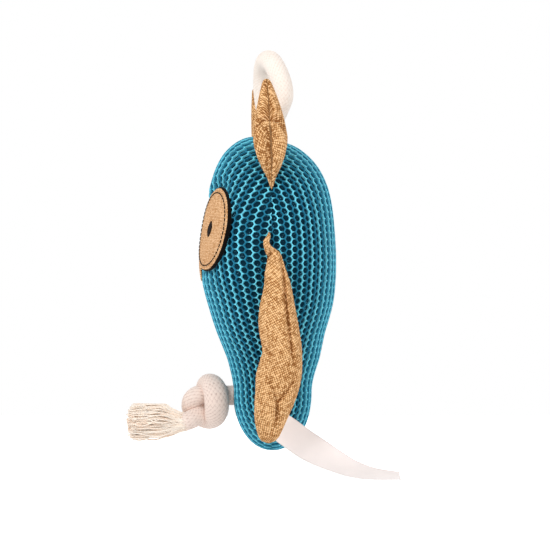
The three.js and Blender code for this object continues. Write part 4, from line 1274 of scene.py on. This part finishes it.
class OWL_OT_cover(bpy.types.Operator):
    """Honeycomb air mesh over the front and back of the body"""

    bl_idname = "owl_toy.cover"
    bl_label = "Mesh cover"

    def execute(self, context):
        cover = context.scene.owl_toy.cover
        yarn, backing = air_mesh_yarn(cover), air_mesh_backing(cover)
        for name, side in (("front", -1), ("back", 1)):
            bm = self.panel(cover, side, context.scene.owl_toy.face.eye / 2)
            piece = finished(bm, f"{name}_mesh", "torso", "mesh_cloth", yarn, backing)
            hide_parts(f"{name}_cover", f"{name}_lining", f"{name}_wadding")
        self.hidden_pieces()
        return {"FINISHED"}

    def panel(self, cover, side, eye_radius):
        bm = self.honeycomb(cover)
        flat = np.array([vert.co for vert in bm.verts])
        deep = bm.verts.layers.float["deep"]
        for vert, place, to_seam in zip(bm.verts, *drape(flat, side, cover, eye_radius)):
            vert.co = place
            # Painted shade along the seam
            vert[deep] = max(vert[deep], SEAM_SHADE * bell(to_seam, SEAM_SHADE_REACH))
        bmesh.ops.bisect_plane(
            bm, geom=whole(bm), dist=WELD, plane_co=(0, SEAM_Y - side * SEAM_GAP, 0),
            plane_no=(0, -side, 0), clear_outer=True)
        return bm

    def honeycomb(self, cover):
        """Flat panel of hexagonal cells sunk between strands, with its height in Z."""
        across, along = cover.cell_across, cover.cell_along
        bm = bmesh.new()
        bmesh.ops.create_circle(bm, cap_ends=True, segments=6, radius=1)
        bmesh.ops.rotate(bm, verts=bm.verts[:], cent=(0, 0, 0), matrix=Matrix.Rotation(math.pi / 2, 3, "Z"))
        bmesh.ops.scale(bm, verts=bm.verts[:], vec=(across / 1.5, along / math.sqrt(3), 1))
        beside = bmesh.ops.duplicate(bm, geom=whole(bm))["geom"]
        moved = [part for part in beside if isinstance(part, bmesh.types.BMVert)]
        bmesh.ops.translate(bm, verts=moved, vec=(across, along / 2, 0))
        rows = math.ceil((MERIDIAN[-1] - MERIDIAN[0]) / along) + 2
        pairs = 2 * math.ceil(HEAD_WIDTH * SEAM_ARC / (2 * across)) + 2
        repeat(bm, (0, along, 0), rows)
        repeat(bm, (2 * across, 0, 0), pairs)
        bmesh.ops.translate(bm, verts=bm.verts[:], vec=(-pairs * across, MERIDIAN[0] - along, 0))
        bmesh.ops.remove_doubles(bm, verts=bm.verts[:], dist=CELL_WELD * along)
        spare = [face for face in bm.faces if not self.needed(face, across)]
        bmesh.ops.delete(bm, geom=spare, context="FACES")
        bright = bm.verts.layers.float.new("bright")
        for vert in bm.verts:
            vert[bright] = 1 - math.floor(vert.co.x / across) % 2
        bmesh.ops.bisect_edges(bm, edges=bm.edges[:], cuts=1)
        self.sink_cells(bm, cover)
        bmesh.ops.recalc_face_normals(bm, faces=bm.faces[:])
        return bm

    def needed(self, face, across):
        """Whether a flat cell lies on the panel."""
        middle = face.calc_center_median()
        level = np.interp(middle.y, MERIDIAN, LEVELS)
        width = np.interp(level, LEVELS, SPANS)
        inside = MERIDIAN[0] < middle.y < MERIDIAN[-1]
        return inside and width > THINNEST and abs(middle.x) < width * SEAM_ARC + across

    def sink_cells(self, bm, cover):
        """Sinks every cell in rings from its rim to its floor, each rounder than the last."""
        deep = bm.verts.layers.float.new("deep")
        cells = bm.faces[:]
        # Each ring takes its share of painted shade down the cell
        for inset, depth, dark in CELL_RINGS:
            bmesh.ops.inset_individual(
                bm, faces=cells, thickness=inset * cover.strand / 2, use_even_offset=True)
            for cell in cells:
                middle = cell.calc_center_median()
                reach = [(vert.co - middle).xy.length for vert in cell.verts]
                usual = sum(reach) / len(reach)
                for vert, far in zip(cell.verts, reach):
                    round_off = (CELL_ROUNDNESS * usual + (1 - CELL_ROUNDNESS) * far) / far
                    vert.co.x = middle.x + (vert.co.x - middle.x) * round_off
                    vert.co.y = middle.y + (vert.co.y - middle.y) * round_off
                    vert.co.z = -depth * cover.recess
                    vert[deep] = dark
        for cell in cells:
            cell.material_index = 1

    def hidden_pieces(self):
        """Squeaker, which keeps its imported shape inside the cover."""
        vinyl = moulded_vinyl()
        for name in ("squeaker_bulb", "squeaker_reed"):
            node = frame["nodes"][name]
            node.data.materials.clear()
            node.data.materials.append(vinyl)


class OWL_OT_face(bpy.types.Operator):
    """Burlap eye patches on felt, with stitches and pupils, and the beak"""

    bl_idname = "owl_toy.face"
    bl_label = "Eyes and beak"

    def execute(self, context):
        toy = context.scene.owl_toy
        burlap = toy.burlap
        patch_cloth = woven(
            "patch_burlap", burlap.thread * PATCH_THREAD, burlap.patch_light, burlap.patch_middle,
            burlap.patch_dark, PATCH_RELIEF)
        beak_cloth = jute("beak_burlap", burlap)
        wool, thread = felt(toy.face), sewing_thread(toy.face)
        layers = (
            ("eye_felt", toy.face.eye + 2 * FELT_MARGIN, FELT_LIFT, FELT_WALL, "black_felt", wool),
            ("eye_cloth", toy.face.eye, PATCH_LIFT, PATCH_WALL, "burlap", patch_cloth),
            ("eye_pupil", toy.face.pupil, PATCH_LIFT + PATCH_WALL, PUPIL_WALL, "dark_thread", thread),
        )
        for name, mirror in (("left", 1), ("right", -1)):
            for layer, *form in layers:
                self.disc(toy.face, mirror, f"{name}_{layer}", *form)
            self.stitches(toy.face, mirror, f"{name}_eye_stitches", thread)
            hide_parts(f"{name}_eye_backing")
            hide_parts(f"{name}_eye_patch")
            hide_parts(f"{name}_pupil")
            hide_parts(f"{name}_eye_stitching")
        self.beak(beak_cloth)
        return {"FINISHED"}

    def place(self, face, mirror, u, v, lift, seated=0):
        """Point of an eye at a height over it, or down on the cover where it is seated."""
        middle, normal, across, up = EYE_PLACE
        cover = cover_height(EYE_PLACE, u, v)
        height = eye_height(u, v, cover, face.eye / 2)
        height -= seated * (1 - EYE_SEAT) * max(0, height - cover)
        point = middle + across * u + up * v + normal * (height + lift)
        return point.x * mirror, point.y, point.z

    def disc(self, face, mirror, name, diameter, lift, wall, slot, material):
        """Round cloth disc with a softly rounded rim, bent over the cover."""
        radius = diameter / 2
        rim = min(wall / 2, DISC_RIM)
        rings = [(radius * share, 0) for share in np.linspace(0, 1 - rim / radius, DISC_RINGS)]
        rings += [
            (radius - rim + rim * math.sin(turn), wall / 2 - (wall / 2) * math.cos(turn))
            for turn in np.linspace(0, math.pi, DISC_RIM_STEPS + 1)[1:-1]]
        rings += [(radius * share, wall) for share in np.linspace(1 - rim / radius, 0, DISC_RINGS)]
        turns = np.linspace(0, 2 * math.pi, DISC_COLUMNS + 1)
        points = np.zeros((len(rings), len(turns), 3))
        uv = np.zeros((len(rings), len(turns), 2))
        for i, (reach, height) in enumerate(rings):
            for j, turn in enumerate(turns):
                u, v = reach * math.cos(turn), reach * math.sin(turn)
                if slot == "dark_thread":
                    u = u * (PUPIL_WIDTH - PUPIL_TAPER * math.sin(turn) ** 2) + PUPIL_SLANT * v
                ripples = (size * math.sin(waves * turn + start) for size, waves, start in DISC_RIPPLES)
                ripple = 1 + sum(ripples)
                seated = 1 - height / wall if slot == "black_felt" else 0
                points[i, j] = self.place(face, mirror, u * ripple, v * ripple, lift + height, seated)
                uv[i, j] = (u, v)
        points[:, -1] = points[:, 0]
        piece = finished(skin(points, uv), name, "torso", slot, material)

    def stitches(self, face, mirror, name, material):
        """Ring of short stitches, each a rounded length of thread pulled into the patch at both ends."""
        radius = face.eye / 2 - face.stitch_inset
        count = round(2 * math.pi * radius / (face.stitch * STITCH_PITCH))
        lift = PATCH_LIFT + PATCH_WALL
        bm = bmesh.new()
        bm.loops.layers.uv.new(UV_NAME)
        for i in range(count):
            middle = 2 * math.pi * i / count
            half = face.stitch / 2 / radius
            rows = []
            for share in np.linspace(-1, 1, STITCH_STEPS + 1):
                turn = middle + half * share
                rise = face.thread * (STITCH_RISE * math.sqrt(max(0, 1 - share ** 4)) - STITCH_SINK)
                thick = face.thread / 2 * max(STITCH_END, 1 - share ** 6)
                row = []
                for side in np.linspace(0, 2 * math.pi, STITCH_SIDES + 1):
                    reach = radius + thick * math.cos(side)
                    u, v = reach * math.cos(turn), reach * math.sin(turn)
                    row.append(self.place(face, mirror, u, v, lift + rise + thick * math.sin(side)))
                rows.append(row)
            one = skin(np.array(rows), np.zeros((len(rows), len(row), 2)))
            mesh = mesh_of(one, "stitch")
            bm.from_mesh(mesh)
            bpy.data.meshes.remove(mesh)
        finished(bm, name, "torso", "dark_thread", material)

    def beak(self, material):
        patch = cover_frame(0, BEAK_LEVEL)
        middle, normal, across, up = patch
        half, tall = BEAK_HALF_WIDTH, BEAK_HALF_HEIGHT
        corners = (
            (half, 0), (half / 2, tall / 2), (0, tall), (-half / 2, tall / 2), (-half, 0),
            (-half * BEAK_JOWL, -tall / 2), (0, -tall), (half * BEAK_JOWL, -tall / 2))
        outline = respaced(np.array([*corners, corners[0]]), BEAK_STEP)
        points = np.zeros((len(BEAK_RINGS), len(outline), 3))
        uv = np.zeros((len(BEAK_RINGS), len(outline), 2))
        for i, (share, top) in enumerate(BEAK_RINGS):
            for j, (u, v) in enumerate(outline):
                swell = (BEAK_EDGE + BEAK_SWELL * (1 - min(1, share) ** BEAK_ROUNDNESS)) * top
                height = cover_height(patch, u * share, v * share) + BEAK_LIFT + swell
                points[i, j] = middle + across * u * share + up * v * share + normal * height
                uv[i, j] = (u * share, v * share)
        piece = finished(skin(points, uv), "beak_cloth", "torso", "burlap", material)
        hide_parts("beak")


class OWL_OT_ears(bpy.types.Operator):
    """Two-pointed stuffed burlap ears"""

    bl_idname = "owl_toy.ears"
    bl_label = "Ears"

    def execute(self, context):
        cloth = jute("ear_burlap", context.scene.owl_toy.burlap, EAR_THREAD)
        low, high = self.seam(EAR_LOW_LEVEL), self.seam(EAR_HIGH_LEVEL)
        points, uv, creased = self.form((low + high) / 2, self.sewn(EAR_LOW_LEVEL - EAR_POINT), high)
        points = puffed(points, EAR_DRAWN)
        along = (high - low).normalized()
        outward = Vector((along.z, 0, -along.x))
        hinge = self.seam((EAR_LOW_LEVEL + EAR_HIGH_LEVEL) / 2)
        sides = (("left", 1, LEFT_EAR_LEAN, LEFT_EAR_CURL), ("right", -1, RIGHT_EAR_LEAN, RIGHT_EAR_CURL))
        for name, mirror, lean, curl in sides:
            rise = np.maximum(0, points[..., 2] - hinge.z) / EAR_HEIGHT
            curled = points - np.array((0, curl, 0)) * rise[..., None] ** 2
            bm = skin(curled, uv, crease=creased)
            turned(bm, -lean, along, hinge, mirror)
            piece = finished(bm, f"{name}_ear_cloth", None, "burlap", cloth)
            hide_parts(f"{name}_ear_front", f"{name}_ear_back", f"{name}_ear_wadding")
            side = Vector((mirror, 1, 1))
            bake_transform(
                piece, "torso", f"{name}_ear", start=(hinge - outward * 1 * MM) * side,
                end=(hinge + outward * EAR_BEND) * side)
        return {"FINISHED"}

    def seam(self, level):
        return TOY + Vector((half_width(level) + EAR_GAP, 0, level))

    def sewn(self, level):
        """Place of an ear's edge in the seam, which draws the low end in the most."""
        share = (EAR_HIGH_LEVEL - level) / (EAR_HIGH_LEVEL - EAR_LOW_LEVEL)
        return self.seam(level) - Vector((EAR_SINK * share * share, 0, 0))

    def form(self, middle, low, high):
        """Rows of points from the middle of the front face, over the edge, to the middle of the back face."""
        place = [(middle.x + out * EAR_WIDTH, middle.z + up * EAR_HEIGHT, 0) for out, up in EAR_OUTLINE]
        free = line_through([(low.x, low.z, 0), *place, (high.x, high.z, 0)], EAR_STEP)
        levels = np.linspace(EAR_HIGH_LEVEL, EAR_LOW_LEVEL - EAR_POINT, EAR_SEAM_STEPS + 1)[1:]
        seam = np.array([(self.sewn(level).x, self.sewn(level).z, 0) for level in levels])
        outline = np.concatenate([free, seam])[:, :2]
        order = np.arange(len(outline))
        loose = np.clip(np.minimum(order, len(free) - order) / EAR_SEAM_FADE, 0, 1)
        centre = np.array((middle.x + EAR_CENTRE[0] * EAR_WIDTH, middle.z + EAR_CENTRE[1] * EAR_HEIGHT))
        rays = outline - centre
        spots = centre + np.sin(np.linspace(0, math.pi / 2, EAR_RINGS))[:, None, None] * rays
        reach = np.linalg.norm(rays, axis=1)
        rays /= reach[:, None]
        inside = distance_to(outline, spots)
        levels = (spots[..., 1] - low.z - EAR_POINT) / MM
        past_split = (spots[..., 0] - middle.x) / EAR_WIDTH - EAR_LOBE_SPLIT
        lobe = eased(np.clip(past_split / EAR_LOBE_BLEND + 0.5, 0, 1))
        thick = np.interp(levels, *zip(*EAR_THICKNESS)) * (1 - lobe)
        thick = (thick + np.interp(levels, *zip(*EAR_LOBE_THICKNESS)) * lobe) * MM
        edge = np.clip(EAR_EDGE * thick, *EAR_EDGE_RANGE) * (1 - EAR_LOBE_EDGE * lobe)
        out = thick / 2 * (1 - (1 - np.minimum(1, inside / edge)) ** EAR_ROUNDNESS) ** (1 / EAR_ROUNDNESS)
        pull = loose * (EAR_PINCH + EAR_ROOT) - EAR_ROOT
        pull = pull * bell(out, EAR_GROOVE) * np.minimum(1, thick / EAR_PLUMP) ** 2
        spots = spots - rays * pull[..., None]
        creased = self.creased(levels, lobe, inside, out, loose * passed(thick, 0, EAR_SHADE_PLUMP))
        steps = np.hypot(np.linalg.norm(np.diff(spots, axis=0), axis=2), np.diff(out, axis=0))
        run = np.concatenate([np.cumsum(steps[::-1], axis=0)[::-1], np.zeros((1, len(outline)))])
        run = run + (reach - run[0]) * (run / run[0]) ** 2
        behind = outline - rays * run[..., None]
        before = grained(behind, EAR_GRAIN)
        behind = behind + np.array(EAR_BACK_SHIFT) * MM
        x, z = np.moveaxis(spots, -1, 0)
        front, back = (np.stack([x, SEAM_Y + way * out, z], axis=-1) for way in (-1, 1))
        pairs = ((front, back), (before, behind), (creased, creased))
        return [np.concatenate([half, other[-2::-1]]) for half, other in pairs]

    def creased(self, levels, lobe, inside, out, plump):
        """Shade along the plump edges of an ear, without the arch of its lobe, and in the valley."""
        along_edge = EAR_SHADE * bell(out, EAR_SHADE_REACH) * plump * (1 - passed(levels, *EAR_ARCH) * lobe)
        top = bell(np.maximum(0, levels - EAR_VALLEY_TOP), EAR_VALLEY_FADE)
        valley = top * passed(levels, *EAR_VALLEY_START) * (1 - lobe)
        return np.maximum(along_edge, EAR_VALLEY_SHADE * valley * np.exp(-inside / EAR_VALLEY_REACH))


class OWL_OT_wings(bpy.types.Operator):
    """Long stuffed burlap wings that hang from twisted necks"""

    bl_idname = "owl_toy.wings"
    bl_label = "Wings"

    def execute(self, context):
        cloth = jute("wing_burlap", context.scene.owl_toy.burlap)
        neck = TOY + Vector((half_width(WING_LEVEL) + WING_SEAT, 0, WING_LEVEL))
        points, uv, creased = self.form()
        points = puffed(points + np.array(neck), WING_DRAWN)
        for name, mirror in (("left", 1), ("right", -1)):
            bm = skin(points, uv, crease=creased)
            turned(bm, WING_TUCK, "Y", neck, mirror)
            piece = finished(bm, f"{name}_wing_cloth", f"{name}_wing", "burlap", cloth)
            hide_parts(f"{name}_wing_outer", f"{name}_wing_inner", f"{name}_wing_wadding")
        return {"FINISHED"}

    def form(self):
        """Rows of points around the wing, from its neck at the origin down to its tip."""
        columns = list(zip(*WING_ROWS))
        tables = [list(zip(columns[0], column)) for column in columns[1:]]
        top, tip = columns[0][0], columns[0][-1]
        tip_rows = tip - WING_TIP * np.linspace(WING_TIP_START, 0, WING_TIP_LINES) ** 2
        rows = np.concatenate([np.linspace(top, tip - WING_TIP, WING_LINES), tip_rows])
        turns = np.linspace(0, 2 * math.pi, WING_COLUMNS + 1)
        points = np.zeros((len(rows), len(turns), 3))
        uv = np.zeros((len(rows), len(turns), 2))
        creased = np.zeros((len(rows), len(turns)))
        for i, down in enumerate(rows):
            front, back, swell = (interpolated(table, down) for table in tables)
            middle, half = (front + back) / 2, max(WING_THINNEST, (back - front) / 2)
            step = min(1, max(0, down) * MM / WING_NECK_LENGTH)
            stand = WING_STANDOFF * eased(step) / MM - WING_NECK_SINK * bell(down - top, WING_NECK_REACH)
            fold_row = WING_FOLD * bell(down - WING_FOLD_PLACE[0], WING_FOLD_REACH[0])
            run = 0
            for j, turn in enumerate(turns):
                side, out = math.cos(turn), math.sin(turn)
                y = middle + half * math.copysign(abs(side) ** WING_EDGE_POWER, side)
                x = swell * math.copysign(abs(out) ** WING_SWELL_POWER, out)
                if out > 0:
                    depth, creased[i, j] = self.crease(down, y)
                    fold = fold_row * bell(y - WING_FOLD_PLACE[1], WING_FOLD_REACH[1])
                    x += fold * min(1, WING_FOLD_RIM * out) - depth * min(1, CREASE_RIM * out)
                else:
                    x *= WING_INNER_SHARE
                points[i, j] = np.array((stand + x, y, -down)) * MM
                if j:
                    run += np.linalg.norm(points[i, j] - points[i, j - 1])
                uv[i, j] = (run, down * MM)
        points[:, -1] = points[:, 0]
        points[0], points[-1] = points[0].mean(axis=0), points[-1].mean(axis=0)
        return points, grained(uv, WING_GRAIN), creased

    def crease(self, down, across):
        """Depth and shade of the creases at a place of the outer face, in millimetres."""
        deepest, darkest = 0, 0
        here = Vector((down, across))
        for line in WING_CREASES:
            for (down1, across1, depth1), (down2, across2, depth2) in zip(line, line[1:]):
                start, end = Vector((down1, across1)), Vector((down2, across2))
                t = max(0, min(1, (here - start).dot(end - start) / (end - start).length_squared))
                gap = (here - start.lerp(end, t)).length
                depth = depth1 + (depth2 - depth1) * t
                deepest = max(deepest, depth * bell(gap, CREASE_WIDTH))
                darkest = max(darkest, min(1, depth / CREASE_DARK) * bell(gap, CREASE_SHADE_WIDTH))
        return deepest, darkest


class OWL_OT_label(bpy.types.Operator):
    """Bare satin ribbon in the left side seam"""

    bl_idname = "owl_toy.label"
    bl_label = "Ribbon"

    def execute(self, context):
        label = context.scene.owl_toy.label
        root = TOY + Vector((half_width(LABEL_LEVEL), 0, LABEL_LEVEL))
        route = [(out * MM, back * MM, up * MM) for out, back, up, _ in LABEL_ROUTE]
        line = line_through(route, LABEL_STEP)
        run, route_run = run_along(line), run_along(np.array(route))
        twists = np.interp(run / run[-1], route_run / route_run[-1], [row[3] for row in LABEL_ROUTE])
        headings = np.gradient(line, axis=0)
        shares = np.linspace(-0.5, 0.5, LABEL_COLUMNS + 1)
        points = np.zeros((len(line), len(shares), 3))
        uv = np.zeros((len(line), len(shares), 2))
        selvedge = np.zeros((len(line), len(shares)))
        top, bottom = (half_width(LABEL_LEVEL + k * label.width / 2) for k in (1, -1))
        seam = Vector((top - bottom, 0, label.width)).normalized()
        for i, middle in enumerate(line):
            heading = Vector(headings[i]).normalized()
            level = Vector((1, 0, 0)).cross(heading).normalized()
            start = min(1, i * LABEL_STEP / LABEL_SEAM_REACH)
            across = seam.lerp(level, start).normalized()
            across = Matrix.Rotation(math.radians(twists[i]), 3, heading) @ across
            face = across.cross(heading)
            for j, share in enumerate(shares):
                cup = LABEL_CUP * (share * 2) ** 2 * start
                points[i, j] = root + Vector(middle) + across * share * label.width + face * cup
                uv[i, j] = (share * label.width, i * LABEL_STEP)
                selvedge[i, j] = passed(abs(share), 0.5 - SELVEDGE, SELVEDGE)
        bm = skin(points, uv, selvedge=selvedge)
        bmesh.ops.solidify(bm, geom=bm.faces[:], thickness=label.wall)
        piece = finished(bm, "ribbon", "label", "satin_ribbon", satin(label))
        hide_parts("seam_label")
        return {"FINISHED"}


class OWL_PT_toy(bpy.types.Panel):
    """Pieces of the owl toy, in the order in which they are made"""

    bl_idname = "OWL_PT_toy"
    bl_label = "Rope Owl Dog Toy"
    bl_space_type = "VIEW_3D"
    bl_region_type = "UI"
    bl_category = "Owl Toy"

    def draw(self, context):
        for operator in OPERATORS:
            self.layout.operator(operator.bl_idname)


OPERATORS = (OWL_OT_stage, OWL_OT_ropes, OWL_OT_cover, OWL_OT_face, OWL_OT_ears, OWL_OT_wings, OWL_OT_label)
CLASSES = (
    OwlCoverSettings, OwlBurlapSettings, OwlFaceSettings, OwlRopeSettings, OwlLabelSettings, OwlStageSettings,
    OwlToySettings, *OPERATORS, OWL_PT_toy,
)


def register():
    for kind in CLASSES:
        bpy.utils.register_class(kind)
    bpy.types.Scene.owl_toy = PointerProperty(type=OwlToySettings)


def unregister():
    del bpy.types.Scene.owl_toy
    for kind in reversed(CLASSES):
        bpy.utils.unregister_class(kind)


def main():
    register()
    bpy.ops.owl_toy.stage()
    bpy.ops.owl_toy.ropes()
    bpy.ops.owl_toy.cover()
    bpy.ops.owl_toy.face()
    bpy.ops.owl_toy.ears()
    bpy.ops.owl_toy.wings()
    bpy.ops.owl_toy.label()


if __name__ == "__main__":
    main()
